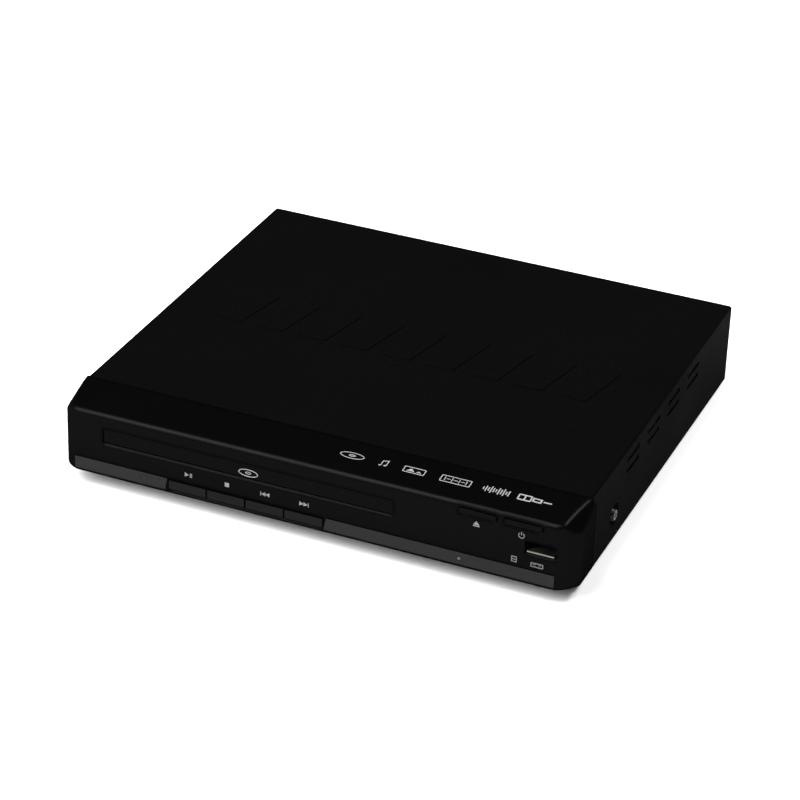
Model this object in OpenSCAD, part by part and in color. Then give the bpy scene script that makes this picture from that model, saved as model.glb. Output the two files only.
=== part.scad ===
// Disc player with a sliding disc tray.
// X runs along the front, Y from the front to the back, Z up from the surface it stands on.
// Millimetres. Modules measure Y from the front face; in_frame() centres the whole on the origin.

/* [Case] */
// Width of the moulded front
bezel_w = 225; // [218:1:236]
// Width of the steel case behind the front
case_w = 220.4; // [214:0.2:222]
// Depth from the front face to the rear panel
case_d = 202.7; // [200:0.1:230]
// Height of the case without its feet
case_h = 36.1; // [35.5:0.1:44]
// Height of the rubber feet
foot_h = 2.4; // [1.6:0.1:5]
// Radius of a rubber foot
foot_r = 7; // [4:0.5:9]
// Thickness of the sheet steel
sheet = 0.8; // [0.6:0.1:1.2]
// Rounding of the long edges of the cover
cover_edge_r = 1.4; // [1:0.1:3]
// Height of the raised ribs on the cover
emboss_h = 0.5; // [0.2:0.1:0.8]
// Number of raised ribs on the cover
emboss_count = 9; // [3:1:11]

/* [Front] */
// Depth of the moulded front, up to the seam with the cover
bezel_d = 22.3; // [20:0.1:24]
// Wall of the moulded front
bezel_wall = 2.2; // [1.6:0.1:2.6]
// Height of the front's lower edge above the bottom of the case
bezel_lift = 4.9; // [4:0.1:6]
// Radius of the rounded ends of the front, seen from above
corner_r = 11.6; // [11.3:0.1:14]
// Where a rounded end meets the side, behind the front face
corner_y = 11.2; // [9:0.1:11.3]
// Radius of the shallow arch of the sloping top
slope_r = 190; // [150:1:300]
// Rounding between the front face and the sloping top
brow_r = 2.2; // [1:0.1:3]
// Height of the trim strips
strip_h = 5.2; // [3:0.1:6]
// Height of the trim strips' lower edge above the front's lower edge
strip_lift = 1.1; // [0.8:0.1:1.6]
// Half the distance between the outer ends of the trim strips
strip_reach = 104.5; // [96:0.5:104.5]
// Thickness of the trim strips
strip_t = 0.9; // [0.6:0.1:1.2]

/* [Keys] */
// Pitch of the four play keys
key_pitch = 17.2; // [15:0.1:19]
// Gap between neighbouring keys
key_gap = 0.7; // [0.4:0.1:1.2]
// Height of a play key
key_h = 3.8; // [3:0.1:4.2]
// Width of the eject and power keys
bar_w = 15.4; // [12:0.1:16]
// Height of the eject and power keys
bar_h = 2.2; // [1.6:0.1:2.6]
// Height of the eject and power keys above the front's lower edge
bar_lift = 25.6; // [24.5:0.1:26]
// Middle of the eject key, to the right of the case's middle
eject_x = 71.6; // [68:0.1:73]
// Middle of the power key, to the right of the case's middle
power_x = 90.6; // [88:0.1:92]
// Travel of every key
key_travel = 0.6; // [0.3:0.1:0.8]

/* [Disc tray] */
// Middle of the tray, to the right of the case's middle
tray_x = -27.7; // [-30:0.1:-26]
// Width of the tray door
door_w = 127.8; // [127:0.1:129]
// Height of the tray door
door_h = 6.2; // [5.8:0.1:6.4]
// Height of the door's lower edge above the front's lower edge
door_lift = 15.5; // [15.2:0.1:15.8]
// Width of the tray between its rails
tray_w = 126; // [125.4:0.1:126.4]
// Thickness of the tray
tray_t = 5.4; // [5:0.1:5.8]
// Behind the front face, where the tray ends when shut
tray_end = 172; // [166:1:174]
// Distance from the front face to the middle of the disc when shut
disc_y = 73; // [72.5:0.1:74]
// Radius of the recess for a large disc
disc_r = 60.6; // [60.3:0.1:61]
// Radius of the recess for a small disc
small_disc_r = 40.6; // [40.3:0.1:42]
// How far the tray slides out
tray_travel = 130; // [110:1:132]

/* [Loading gears] */
// Gear module of the loading gears
load_module = 1; // [0.9:0.05:1]
// Teeth of the small gear that meets the tray's rack
rack_gear_teeth = 12; // [11:1:12]
// Teeth of the large gear below it
tray_gear_teeth = 20; // [18:1:20]
// Teeth of the pinion on the belt pulley
pulley_gear_teeth = 12; // [12:1:14]
// Radius of the belt's run in the large pulley
pulley_r = 9; // [7:0.5:9]
// Radius of the belt's run on the motor
motor_pulley_r = 2.6; // [2.2:0.1:4]
// Thickness of the belt
belt_t = 1.2; // [0.8:0.1:1.4]

/* [Disc drive] */
// Angle by which the disc drive hangs down while the tray moves
drop_angle = 5; // [4.5:0.1:5]
// Middle of the drive's hinge behind the front face
hinge_y = 156; // [154:0.5:157]
// Height of the drive's hinge
hinge_z = 16; // [15.5:0.1:16.5]
// Radius of the hinge pins
hinge_pin_r = 1.8; // [1.4:0.1:2]
// Radius of the turntable
turntable_r = 14.5; // [12:0.5:15]
// Height of the turntable's disc seat while a disc plays
seat_z = 27; // [26.6:0.1:27.2]
// Radius of the centring cone
cone_r = 7.4; // [7:0.1:7.5]
// Radius of the guide rods
rod_r = 1.5; // [1:0.1:1.6]
// Distance between the guide rods
rod_gap = 48; // [46:0.5:49]
// Travel of the pickup
sled_travel = 34; // [28:1:35]
// Gear module of the pickup gears
sled_module = 0.8; // [0.7:0.05:0.8]
// Teeth of the pickup gear
sled_gear_teeth = 20; // [16:1:20]
// Teeth of the pinion on the pickup motor
sled_pinion_teeth = 10; // [10:1:12]
// Radius of the disc clamp's pad
clamp_r = 14; // [12:0.5:16]

/* [Rear sockets] */
// Outer radius of a phono socket's barrel
phono_r = 4.15; // [4:0.05:4.3]
// Pitch of the phono sockets
phono_pitch = 14; // [12:0.5:16]
// How far the phono barrels stand out of the rear panel
phono_reach = 8.5; // [6:0.5:12]
// Middle of the mains inlet, to the right of the case's middle
inlet_x = 84; // [78:0.5:88]

/* [Fits] */
// Gap between sliding faces
slide_gap = 0.3; // [0.2:0.05:0.4]
// Gap around a shaft in its bore
shaft_gap = 0.06; // [0.03:0.01:0.09]
// Gap between fixed sheets and mouldings
seam_gap = 0.15; // [0.1:0.05:0.3]

/* [Hidden] */
$fn = 48;

// Case
case_top = foot_h + case_h;
lower_edge = foot_h + bezel_lift;
floor_top = foot_h + sheet;
face_out = 0.4;
middle_y = (case_d + phono_reach - face_out) / 2;
cover_in_w = case_w - 2 * sheet;
pan_w = cover_in_w - 2 * seam_gap;
cover_y = bezel_d + seam_gap;
panel_y = case_d - sheet;
pan_y = 14.5;
flange_h = 16;
front_flange_z = lower_edge + 0.9;
side_screw_y = 52.7;
side_screw_z = foot_h + 11.7;
dish_r = 5.4;
dish_depth = 1.1;
foot_y = [40, 187];
foot_x = case_w / 2 - 16;

// Front
slope_rise = 3;
slope_y = bezel_d + slope_r * sin(slope_rise);
slope_z = case_top - slope_r * cos(slope_rise);
chin_y = 12;
chin_r = 4;
// Slanted facet that ends the sloping top on each side
cheek_in = 2.6;
cheek_back = 2.3;
cheek_drop = 0.15;
cheek_yaw = 14;
cheek_pitch = 34;
strip_z = lower_edge + strip_lift;
strip_slant = 0.9;
key_row_w = 4 * key_pitch;
key_z = strip_z + strip_h / 2;
key_slot_h = key_h + 1.4;
bar_z = lower_edge + bar_lift;
usb_x = 98.2;
usb_z = lower_edge + 16.2;
usb_w = 12.4;
usb_h = 4.9;
usb_back = 1.9;
led_x = 64.9;
ir_x = -72.9;
ir_window_r = 1.6;
board_y = 8.6;
board_t = 1.6;
key_back = 3.2;
plunger_y = board_y - 2.6 - key_travel - 0.1;

// Tray and loader
door_z = lower_edge + door_lift;
door_t = 2.4;
door_y = 0.6;
tray_y = door_y + door_t;
tray_z = door_z + 0.5;
tray_top = tray_z + tray_t;
disc_floor = tray_top - 3;
small_disc_floor = disc_floor - 0.9;
slot_w = 50;
slot_y = disc_y - 19;
edge_run_w = 2.17;
rail_gap = 0.5;
wall_t = 2.5;
loader_in = tray_w / 2 + rail_gap;
loader_out = loader_in + wall_t;
loader_y = 13;
loader_end = 177;
loader_z = floor_top + 4;
loader_top = tray_top + 2.8;
ear_x = loader_out + 5;
ear_y = [24, 168];
deck_z = 15.6;
deck_t = 1.6;
deck_end = 43.7;
gear_y = loader_y + 15.5;
gear_z = tray_z - 2.9;
gear_t = 2;
rack_gear_r = load_module * rack_gear_teeth / 2;
tray_gear_r = load_module * tray_gear_teeth / 2;
pulley_gear_r = load_module * pulley_gear_teeth / 2;
rack_x = tray_x - tray_w / 2 + 0.9 * load_module;
rack_t = 2.2;
tray_gear_x = rack_x - rack_gear_r;
pulley_gear_x = tray_gear_x + tray_gear_r + pulley_gear_r;
motor_x = pulley_gear_x + 34;
post_r = 1.5;
pulley_z = deck_z + deck_t + slide_gap;
belt_z = pulley_z + 0.7;

// Disc drive, drawn as it stands while a disc plays
plate_z = 17.3;
plate_t = 1;
holder_z = 13;
holder_t = 3.2;
holder_x = [tray_x - 38, tray_x + 53];
holder_y = [50, 158];
holder_rim = 6.5;
rod_z = plate_z + plate_t + rod_r + 0.2;
rod_y = [78, 151];
sled_y = disc_y + 13;
sled_len = 26;
lens_y = disc_y + 24;
seat_t = 1.6;
sled_gear_r = sled_module * sled_gear_teeth / 2;
sled_pinion_r = sled_module * sled_pinion_teeth / 2;
sled_rack_x = tray_x + rod_gap / 2 + 6;
sled_gear_x = sled_rack_x + sled_gear_r;
sled_gear_y = disc_y + 39;
sled_motor_y = sled_gear_y + sled_gear_r + sled_pinion_r;
sled_gear_z = plate_z + plate_t + 0.5;
sled_pinion_turn = -90 + (180 - (90 % (360 / sled_gear_teeth)) * sled_gear_teeth) / sled_pinion_teeth;
cam_pin_z = 16;
cam_pin_r = 1.3;
cam_y = deck_end + slide_gap;
cam_t = 3.4;
cam_pin_y = cam_y + cam_t / 2;
cam_arm = hinge_y - cam_pin_y;
cam_low_z = hinge_z - cam_arm * sin(drop_angle);
cam_travel = 14;
cam_rise = cam_pin_z - cam_low_z;

// Rear
jack_x = [for (i = [0:2]) tray_x - 26 + i * phono_pitch];
coax_x = tray_x - 26 + 3 * phono_pitch + 4;
jack_z = [foot_h + 13, foot_h + 13 + phono_pitch];
jack_y = panel_y - 10;
inlet_z = foot_h + 14;
inlet_r = 5.4;
inlet_reach = 4.4;

// Boards
front_post_x = [-64, 40, 58, 104];
front_post_r = 2.2;
front_post_hole = 0.8;
board_post_h = 5.4;
board_z = foot_h + board_post_h;
main_posts = [[55, 32], [103, 32], [55, 116], [103, 116]];
power_posts = [[55, 134], [103, 134], [55, 176], [103, 176]];
board_posts = concat(main_posts, power_posts);

module in_frame() {
    translate([0, -middle_y, 0]) children();
}

// A block given by its limits along X, Y and Z.
module block(x, y, z) {
    translate([x[0], y[0], z[0]]) cube([x[1] - x[0], y[1] - y[0], z[1] - z[0]]);
}

// Stands a drawing in X and Z up, from y to y + depth.
module upright(y, depth) {
    translate([0, y + depth, 0]) rotate([90, 0, 0]) linear_extrude(depth) children();
}

// Runs a drawing in Y and Z along X, centred on the middle.
module along_x(width) {
    rotate([90, 0, 90]) linear_extrude(width, center = true) children();
}

module tube(h, r, hole) {
    difference() {
        cylinder(h = h, r = r);
        translate([0, 0, -1]) cylinder(h = h + 2, r = hole);
    }
}

// The drive hangs from its rear hinge at rest.
module lowered() {
    translate([0, hinge_y, hinge_z]) rotate([drop_angle, 0, 0])
        translate([0, -hinge_y, -hinge_z]) children();
}

// One flank of an involute tooth, from the root to the tip.
function flank(base, root, tip, half) = [
    for (i = [0:4])
        let (r = max(root, base) + (tip - max(root, base)) * i / 4,
             roll = sqrt(max(0, pow(r / base, 2) - 1)),
             a = half - (roll * 180 / PI - atan(roll)))
        [r * cos(a), r * sin(a)]
];

// A flat involute gear, with the middle of a tooth along +X.
module gear(mod, teeth, thickness, backlash = 0.12) {
    pitch = mod * teeth / 2;
    base = pitch * cos(20);
    root = pitch - 1.2 * mod;
    tip = pitch + 0.9 * mod;
    roll = sqrt(pow(pitch / base, 2) - 1);
    half = 90 / teeth - backlash / pitch * 90 / PI + (roll * 180 / PI - atan(roll));
    side = flank(base, root, tip, half);
    linear_extrude(thickness) {
        circle(root + 0.05);
        for (i = [0:teeth - 1])
            rotate(i * 360 / teeth)
                polygon(concat([[root * 0.9, -side[0][1]]],
                               [for (p = side) [p[0], -p[1]]],
                               [for (k = [4:-1:0]) side[k]],
                               [[root * 0.9, side[0][1]]]));
    }
}

// A straight rack along Y that faces +X, with its pitch line at x = 0.
// A tooth gap is centred on y = 0.
module rack(mod, from, to, back, thickness, backlash = 0.12) {
    pitch = PI * mod;
    first = ceil(from / pitch + 0.5);
    last = floor(to / pitch - 0.5);
    root = -1.2 * mod;
    tip = 0.9 * mod;
    wide = pitch / 4 - backlash / 4;
    linear_extrude(thickness) {
        translate([-back, from]) square([back + root, to - from]);
        for (i = [first:last])
            translate([0, (i - 0.5) * pitch])
                polygon([[root - 0.2, -wide - 1.4 * mod * tan(20)], [tip, -wide + tip * tan(20)],
                         [tip, wide - tip * tan(20)], [root - 0.2, wide + 1.4 * mod * tan(20)]]);
    }
}

// A pan-head screw with its head above z = 0.
module screw(r, length) {
    difference() {
        union() {
            cylinder(h = 1.7, r1 = r * 1.9, r2 = r * 1.5);
            translate([0, 0, -length]) cylinder(h = length, r = r);
        }
        for (a = [0, 90])
            rotate(a) translate([-r, -0.3, 0.8]) cube([2 * r, 0.6, 2]);
    }
}

// ---- Front ----

// Outline of the front seen from above, inset by a wall.
module bezel_plan(inset) {
    half = bezel_w / 2 - inset;
    r = corner_r - inset;
    intersection() {
        translate([-half, inset]) square([2 * half, bezel_d - inset]);
        union() {
            translate([-half, corner_y]) square([2 * half, bezel_d]);
            translate([r - half, 0]) square([2 * (half - r), bezel_d]);
            for (s = [-1, 1])
                translate([s * (half - r), corner_y]) circle(r, $fn = 96);
        }
    }
}

// Outline of the front seen from the side: x is Y and y is Z.
module bezel_side(inset, low) {
    big = slope_r - inset;
    brow = max(0.4, brow_r - inset / 2);
    brow_y = inset + brow;
    brow_z = slope_z + sqrt(pow(big - brow, 2) - pow(slope_y - brow_y, 2));
    lean = asin((slope_y - brow_y) / (big - brow));
    difference() {
        intersection() {
            translate([inset, low]) square([bezel_d - inset, case_top + 1 - low]);
            translate([slope_y, slope_z]) circle(big, $fn = 96);
        }
        difference() {
            translate([inset - 1, brow_z]) square([1 + brow * (1 - sin(lean)), case_top]);
            translate([brow_y, brow_z]) circle(brow);
        }
    }
}

// Left strip ends in a slant beside the keys; the right one starts with one.
module strip_outline(side, inset) {
    inner = key_row_w / 2 + key_gap / 2;
    low = strip_z + inset;
    high = strip_z + strip_h - inset;
    if (side < 0)
        polygon([[-strip_reach + inset, low], [tray_x - inner - strip_slant - inset, low],
                 [tray_x - inner - inset, high], [-strip_reach + inset, high]]);
    else
        polygon([[tray_x + inner + inset, low], [strip_reach - inset, low],
                 [strip_reach - inset, high], [tray_x + inner + strip_slant + inset, high]]);
}

// Everything outside the slanted facet on side s, moved in by inset.
module cheek_cut(s, inset) {
    translate([s * (bezel_w / 2 - cheek_in), bezel_d - cheek_back, case_top - cheek_drop])
        rotate([0, 0, -s * cheek_yaw]) rotate([0, -s * cheek_pitch, 0])
            translate([s > 0 ? -inset : inset - 30, -50, -50]) cube([30, 100, 100]);
}

// Set-back lower edge under the front, with rounded ends.
module chin_plan() {
    half = case_w / 2;
    translate([-half, chin_y + chin_r]) square([2 * half, bezel_d - chin_y - chin_r]);
    translate([chin_r - half, chin_y]) square([2 * (half - chin_r), bezel_d - chin_y]);
    for (s = [-1, 1])
        translate([s * (half - chin_r), chin_y + chin_r]) circle(chin_r);
}

module bezel_shell() {
    difference() {
        union() {
            intersection() {
                translate([0, 0, lower_edge]) linear_extrude(case_h) bezel_plan(0);
                along_x(bezel_w + 2) bezel_side(0, lower_edge);
            }
            translate([0, 0, foot_h]) linear_extrude(bezel_lift + 1) chin_plan();
        }
        for (s = [-1, 1])
            cheek_cut(s, 0);
        difference() {
            intersection() {
                translate([0, 0, lower_edge + bezel_wall]) linear_extrude(case_h) bezel_plan(bezel_wall);
                along_x(bezel_w) bezel_side(bezel_wall, lower_edge + bezel_wall);
            }
            for (s = [-1, 1])
                cheek_cut(s, bezel_wall);
        }
        // Open at the back for the case
        block([-pan_w / 2 - slide_gap, pan_w / 2 + slide_gap], [pan_y - slide_gap, bezel_d + 1],
              [foot_h - 1, lower_edge + bezel_wall + 1]);
        block([-pan_w / 2, pan_w / 2], [bezel_d - 3, bezel_d + 1], [lower_edge, case_top - bezel_wall]);
    }
}

module front_bezel() {
    color("#0c0c0d") in_frame() {
        difference() {
            bezel_shell();
            // Doorway of the tray
            block([tray_x - door_w / 2 - slide_gap, tray_x + door_w / 2 + slide_gap], [-1, 8],
                  [door_z - slide_gap, door_z + door_h + slide_gap]);
            // Slot of the play keys
            block([tray_x - key_row_w / 2, tray_x + key_row_w / 2], [-1, 4],
                  [key_z - key_slot_h / 2, key_z + key_slot_h / 2]);
            for (x = [eject_x, power_x])
                block([x - bar_w / 2 - slide_gap, x + bar_w / 2 + slide_gap], [-1, 4],
                      [bar_z - bar_h / 2 - slide_gap, bar_z + bar_h / 2 + slide_gap]);
            // Seats of the trim strips
            for (s = [-1, 1])
                upright(-1, 1 + strip_t - slide_gap) strip_outline(s, -0.05);
            // USB port, light and infrared window
            block([usb_x - usb_w / 2 - slide_gap, usb_x + usb_w / 2 + slide_gap], [-1, 4],
                  [usb_z - usb_h / 2 - slide_gap, usb_z + usb_h / 2 + slide_gap]);
            translate([led_x, 4, key_z]) rotate([90, 0, 0]) cylinder(h = 5, r = 0.85);
            translate([ir_x, 4, key_z]) rotate([90, 0, 0]) cylinder(h = 5, r = 2.2);
        }
        // Posts that carry the front board
        for (p = front_post_places())
            translate([p[0], board_y, p[1]])
                rotate([90, 0, 0]) tube(board_y - bezel_wall + 0.4, front_post_r, front_post_hole);
        // Catches that hook behind the front flange of the case
        for (x = [-80, 0, 80]) {
            block([x - 5, x + 5], [chin_y + 0.5, pan_y + sheet + 1.6],
                  [front_flange_z + slide_gap, lower_edge + bezel_wall]);
            block([x - 5, x + 5], [pan_y + sheet + 0.2, pan_y + sheet + 1.6],
                  [front_flange_z - 1.6, lower_edge + bezel_wall]);
        }
    }
}

module strip(side) {
    difference() {
        upright(-slide_gap, strip_t - 0.05) strip_outline(side, 0);
        for (hole = [[led_x, 0.75], [ir_x, ir_window_r + 0.1]])
            translate([hole[0], 4, key_z]) rotate([90, 0, 0]) cylinder(h = 8, r = hole[1]);
    }
}

module trim_left() {
    color("#4a4a4c") in_frame() strip(-1);
}

module trim_right() {
    color("#4a4a4c") in_frame() strip(1);
}

// A moulded key: face, flange behind the front and plunger to its switch.
module key(x, z, w, h, out, up, down) {
    block([x - w / 2, x + w / 2], [-out, bezel_wall + 0.9], [z - h / 2, z + h / 2]);
    block([x - w / 2, x + w / 2], [bezel_wall + slide_gap, key_back], [z - h / 2 - down, z + h / 2 + up]);
    translate([x, plunger_y, z]) rotate([90, 0, 0]) cylinder(h = plunger_y - key_back + 0.2, r = 1.3);
}

module play_row_key(i) {
    color("#252527") in_frame()
        key(tray_x + (i - 1.5) * key_pitch, key_z, key_pitch - key_gap, key_h, 0.1, 1.3, 0.5);
}

module play_key() { play_row_key(0); }
module stop_key() { play_row_key(1); }
module previous_key() { play_row_key(2); }
module next_key() { play_row_key(3); }

module eject_key() {
    color("#141415") in_frame() key(eject_x, bar_z, bar_w, bar_h, face_out, 0.1, 1.3);
}

module power_key() {
    color("#141415") in_frame() key(power_x, bar_z, bar_w, bar_h, face_out, 0.1, 1.3);
}

// ---- Case ----

// Outline of the steel case seen from the front, inset by a wall.
module cover_outline(inset) {
    half = case_w / 2 - inset;
    r = max(0.3, cover_edge_r - inset);
    top = case_top - inset;
    difference() {
        translate([-half, foot_h]) square([2 * half, top - foot_h]);
        for (s = [-1, 1])
            difference() {
                translate([s * half - r, top - r]) square(2 * r);
                translate([s * (half - r), top - r]) circle(r);
            }
    }
}

// Cooling slots in a side, in two rows of four.
module side_slots() {
    for (i = [0:3], z = [foot_h + 23.8, foot_h + 29])
        translate([0, 65.5 + i * 25.8, z]) cube([20, 14.5, 1.8]);
}

// The dished seat round a side screw, grown by a wall on the inside.
module screw_dish(s, out, wall) {
    translate([s * (case_w / 2 + out), side_screw_y, side_screw_z]) rotate([0, -s * 90, 0])
        cylinder(h = dish_depth + wall + out, r1 = dish_r + wall, r2 = dish_r - 1.8 + wall);
}

module top_cover() {
    color("#111112") in_frame() {
        difference() {
            upright(cover_y, case_d - cover_y) cover_outline(0);
            upright(cover_y - 1, case_d - cover_y + 2) cover_outline(sheet);
            block([-cover_in_w / 2, cover_in_w / 2], [cover_y - 1, case_d + 1], [0, foot_h + 4]);
            for (s = [-1, 1])
                translate([s > 0 ? case_w / 2 - 10 : -case_w / 2 - 10, 0, 0]) side_slots();
            for (s = [-1, 1])
                screw_dish(s, 0.01, 0);
            for (x = [-90, 0, 96])
                translate([x, case_d, case_top - 5]) rotate([90, 0, 0])
                    cylinder(h = 4, r = 1.6, center = true);
        }
        for (s = [-1, 1])
            difference() {
                screw_dish(s, 0, sheet);
                screw_dish(s, 0.02, 0);
                translate([s * case_w / 2, side_screw_y, side_screw_z]) rotate([0, 90, 0])
                    cylinder(h = 9, r = 1.6, center = true);
            }
        // Raised ribs pressed into the top
        for (i = [0:emboss_count - 1])
            translate([(i - (emboss_count - 1) / 2) * 19.6, 0, case_top - 0.1])
                linear_extrude(emboss_h + 0.1)
                    polygon([[-9, 93], [3.5, 93], [9, 121], [-3.5, 121]]);
    }
}

module chassis_pan() {
    half = pan_w / 2;
    color("#8d9093") in_frame() {
        difference() {
            union() {
                block([-half, half], [pan_y, panel_y - 0.02], [foot_h, floor_top]);
                for (s = [-1, 1])
                    block(s > 0 ? [half - sheet, half] : [-half, sheet - half],
                          [cover_y, panel_y - 0.02], [foot_h, foot_h + flange_h]);
                block([-half, half], [pan_y, pan_y + sheet], [foot_h, front_flange_z]);
                // Pressed bosses for the loader and the boards
                for (y = ear_y, s = [-1, 1])
                    translate([tray_x + s * ear_x, y, foot_h])
                        cylinder(h = loader_z - foot_h, r1 = 5, r2 = 3.6);
                for (p = board_posts)
                    translate([p[0], p[1], foot_h]) cylinder(h = board_post_h, r1 = 4.4, r2 = 3);
            }
            for (y = ear_y, s = [-1, 1])
                translate([tray_x + s * ear_x, y, 0]) cylinder(h = 20, r = 1.5);
            for (p = board_posts)
                translate([p[0], p[1], 0]) cylinder(h = 20, r = 1.3);
            for (x = [-foot_x, foot_x], y = foot_y)
                translate([x, y, 0]) cylinder(h = 20, r = 2.4);
            // Openings for the dishes of the cover
            for (s = [-1, 1])
                translate([s * half, side_screw_y, side_screw_z]) rotate([0, 90, 0])
                    cylinder(h = 6, r = dish_r + sheet + 0.3, center = true);
            // Cooling slots under the power board
            for (i = [0:4])
                block([60, 96], [142 + i * 7, 144.5 + i * 7], [0, 9]);
        }
    }
}

module rubber_feet() {
    color("#1b1b1b") in_frame()
        for (x = [-foot_x, foot_x], y = foot_y)
            translate([x, y, 0]) {
                difference() {
                    cylinder(h = foot_h, r1 = foot_r - 0.6, r2 = foot_r);
                    translate([0, 0, -0.01]) cylinder(h = 0.8, r = foot_r - 3);
                }
                translate([0, 0, foot_h - 0.1]) cylinder(h = sheet + 0.1, r = 2.35);
                translate([0, 0, floor_top]) cylinder(h = 1.2, r1 = 3.2, r2 = 2);
            }
}

module cover_side_screws() {
    color("#b9bbbd") in_frame()
        for (s = [-1, 1])
            translate([s * (case_w / 2 - dish_depth), side_screw_y, side_screw_z])
                rotate([0, s * 90, 0]) screw(1.45, 4);
}

// ---- Loader ----

module loader_frame() {
    color("#1a1b1d") in_frame() difference() {
        union() {
            for (s = [-1, 1]) {
                inner = tray_x + s * loader_in;
                outer = tray_x + s * loader_out;
                block([min(inner, outer), max(inner, outer)], [loader_y, loader_end],
                      [loader_z, loader_top]);
                // Ledge under the edge of the tray and guide over it
                block([min(inner - s * 2.2, outer), max(inner - s * 2.2, outer)],
                      [loader_y, loader_end], [tray_z - slide_gap - 1.6, tray_z - slide_gap]);
                for (y = [26, 100, 140])
                    block([min(inner - s * 2, outer), max(inner - s * 2, outer)], [y, y + 8],
                          [tray_top + slide_gap, tray_top + slide_gap + 1.5]);
                // Foot strip, stiffening ribs and mounting ears
                block([min(inner - s * 5, outer), max(inner - s * 5, outer)],
                      [loader_y, loader_end], [loader_z, loader_z + 1.6]);
                for (y = [44, 72, 100, 128, 152])
                    block([min(outer, outer + s * 1.4), max(outer, outer + s * 1.4)],
                          [y, y + 1.6], [loader_z, loader_top - 2]);
                for (y = ear_y) {
                    translate([tray_x + s * ear_x, y, loader_z]) cylinder(h = 2.4, r = 4.6);
                    block([min(outer - s, tray_x + s * ear_x), max(outer - s, tray_x + s * ear_x)],
                          [y - 4.6, y + 4.6], [loader_z, loader_z + 2.4]);
                }
                hinge_ear(s);
            }
            // Front deck, cross wall and rear wall
            block([tray_x - loader_in - 1, tray_x + loader_in + 1], [loader_y, deck_end],
                  [deck_z, deck_z + deck_t]);
            block([tray_x - loader_in - 1, tray_x + loader_in + 1], [deck_end - 2, deck_end],
                  [loader_z, deck_z + 0.5]);
            block([tray_x - loader_in - 1, tray_x + loader_in + 1],
                  [loader_end - 2, loader_end], [loader_z, tray_z - slide_gap]);
            block([tray_x - loader_in - 1, tray_x + loader_in + 1],
                  [loader_end - 12, loader_end], [loader_z, loader_z + 1.6]);
            block([tray_gear_x - 6, tray_x - loader_in], [gear_y - 7, gear_y + 7],
                  [deck_z, deck_z + deck_t]);
        }
        // Window for the loading gears
        block([tray_x - loader_out - 3, tray_x - loader_in + 4],
              [gear_y - tray_gear_r - load_module - 0.6, gear_y + tray_gear_r + load_module + 0.6],
              [deck_z + deck_t, tray_z + rack_t + 0.6]);
        // Opening for the loading motor's nose
        translate([motor_x, gear_y, deck_z - 1]) cylinder(h = 4, r = 3.4);
        for (y = ear_y, s = [-1, 1])
            translate([tray_x + s * ear_x, y, 0]) cylinder(h = 40, r = 1.6);
        // Step over the front of the chassis
        block([tray_x - 80, tray_x + 80], [loader_y - 1, pan_y + sheet + slide_gap],
              [loader_z - 1, lower_edge + bezel_wall + slide_gap]);
        // Windows in the side walls
        for (y = [52, 80, 108])
            block([tray_x - 80, tray_x + 80], [y, y + 16], [loader_z + 4, tray_z - 4.5]);
    }
    // Posts of the loading gears
    color("#1a1b1d") in_frame()
        for (p = [[tray_gear_x, tray_z + rack_t], [pulley_gear_x, gear_z + gear_t]])
            translate([p[0], gear_y, deck_z + 0.1]) {
                cylinder(h = p[1] - deck_z, r = post_r);
                cylinder(h = deck_t + slide_gap - 0.3, r = 3);
            }
}

// Bracket on the rear floor that holds one hinge pin of the drive.
module hinge_ear(s) {
    x = s > 0 ? holder_x[1] + 0.5 : holder_x[0] - 3.5;
    difference() {
        union() {
            block([x, x + 3], [hinge_y - 4, hinge_y + 4], [loader_z, hinge_z]);
            translate([x, hinge_y, hinge_z]) rotate([0, 90, 0]) cylinder(h = 3, r = 4);
            block([x, x + 3], [hinge_y, loader_end - 1], [loader_z, loader_z + 3]);
        }
        translate([x - 1, hinge_y, hinge_z]) rotate([0, 90, 0])
            cylinder(h = 5, r = hinge_pin_r + shaft_gap);
    }
}

module clamp_bridge() {
    color("#2b2c2f") in_frame() difference() {
        union() {
            block([tray_x - loader_out, tray_x + loader_out],
                  [disc_y - clamp_r - 6, disc_y + clamp_r + 6], [loader_top, loader_top + 1.4]);
            translate([tray_x, disc_y, loader_top]) cylinder(h = 1.4, r = clamp_r + 9);
            for (y = [disc_y - clamp_r - 6, disc_y + clamp_r + 4.6])
                block([tray_x - loader_out, tray_x + loader_out], [y, y + 1.4],
                      [loader_top, loader_top + 3]);
            translate([tray_x, disc_y, loader_top]) tube(2.6, clamp_r + 5.5, clamp_r + 4.2);
        }
        translate([tray_x, disc_y, loader_top - 1]) cylinder(h = 6, r = clamp_r + 0.5);
        for (s = [-1, 1])
            translate([tray_x + s * (clamp_r + 24), disc_y, loader_top - 1])
                linear_extrude(3) for (k = [-1, 1])
                    translate([k * 10, 0]) circle(4.5);
    }
}

module loading_motor() {
    color("#a9acb0") in_frame() translate([motor_x, gear_y, 0]) {
        difference() {
            translate([0, 0, floor_top + 0.5]) cylinder(h = deck_z - floor_top - 0.5, r = 12);
            for (s = [-1, 1])
                translate([s * 10 - 20 + (s > 0 ? 20.5 : -0.5), -20, 0]) cube([20, 40, deck_z - 0.01]);
        }
        cylinder_at(deck_z - 0.1, deck_t - 0.2, 3);
        cylinder_at(deck_z, pulley_z + 2.6 - deck_z, 0.98);
    }
}

module cylinder_at(z, h, r) {
    translate([0, 0, z]) cylinder(h = h, r = r);
}

module motor_pulley() {
    color("#d8d6cf") in_frame() translate([motor_x, gear_y, pulley_z])
        pulley(motor_pulley_r, 2.8, 1 + shaft_gap);
}

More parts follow.
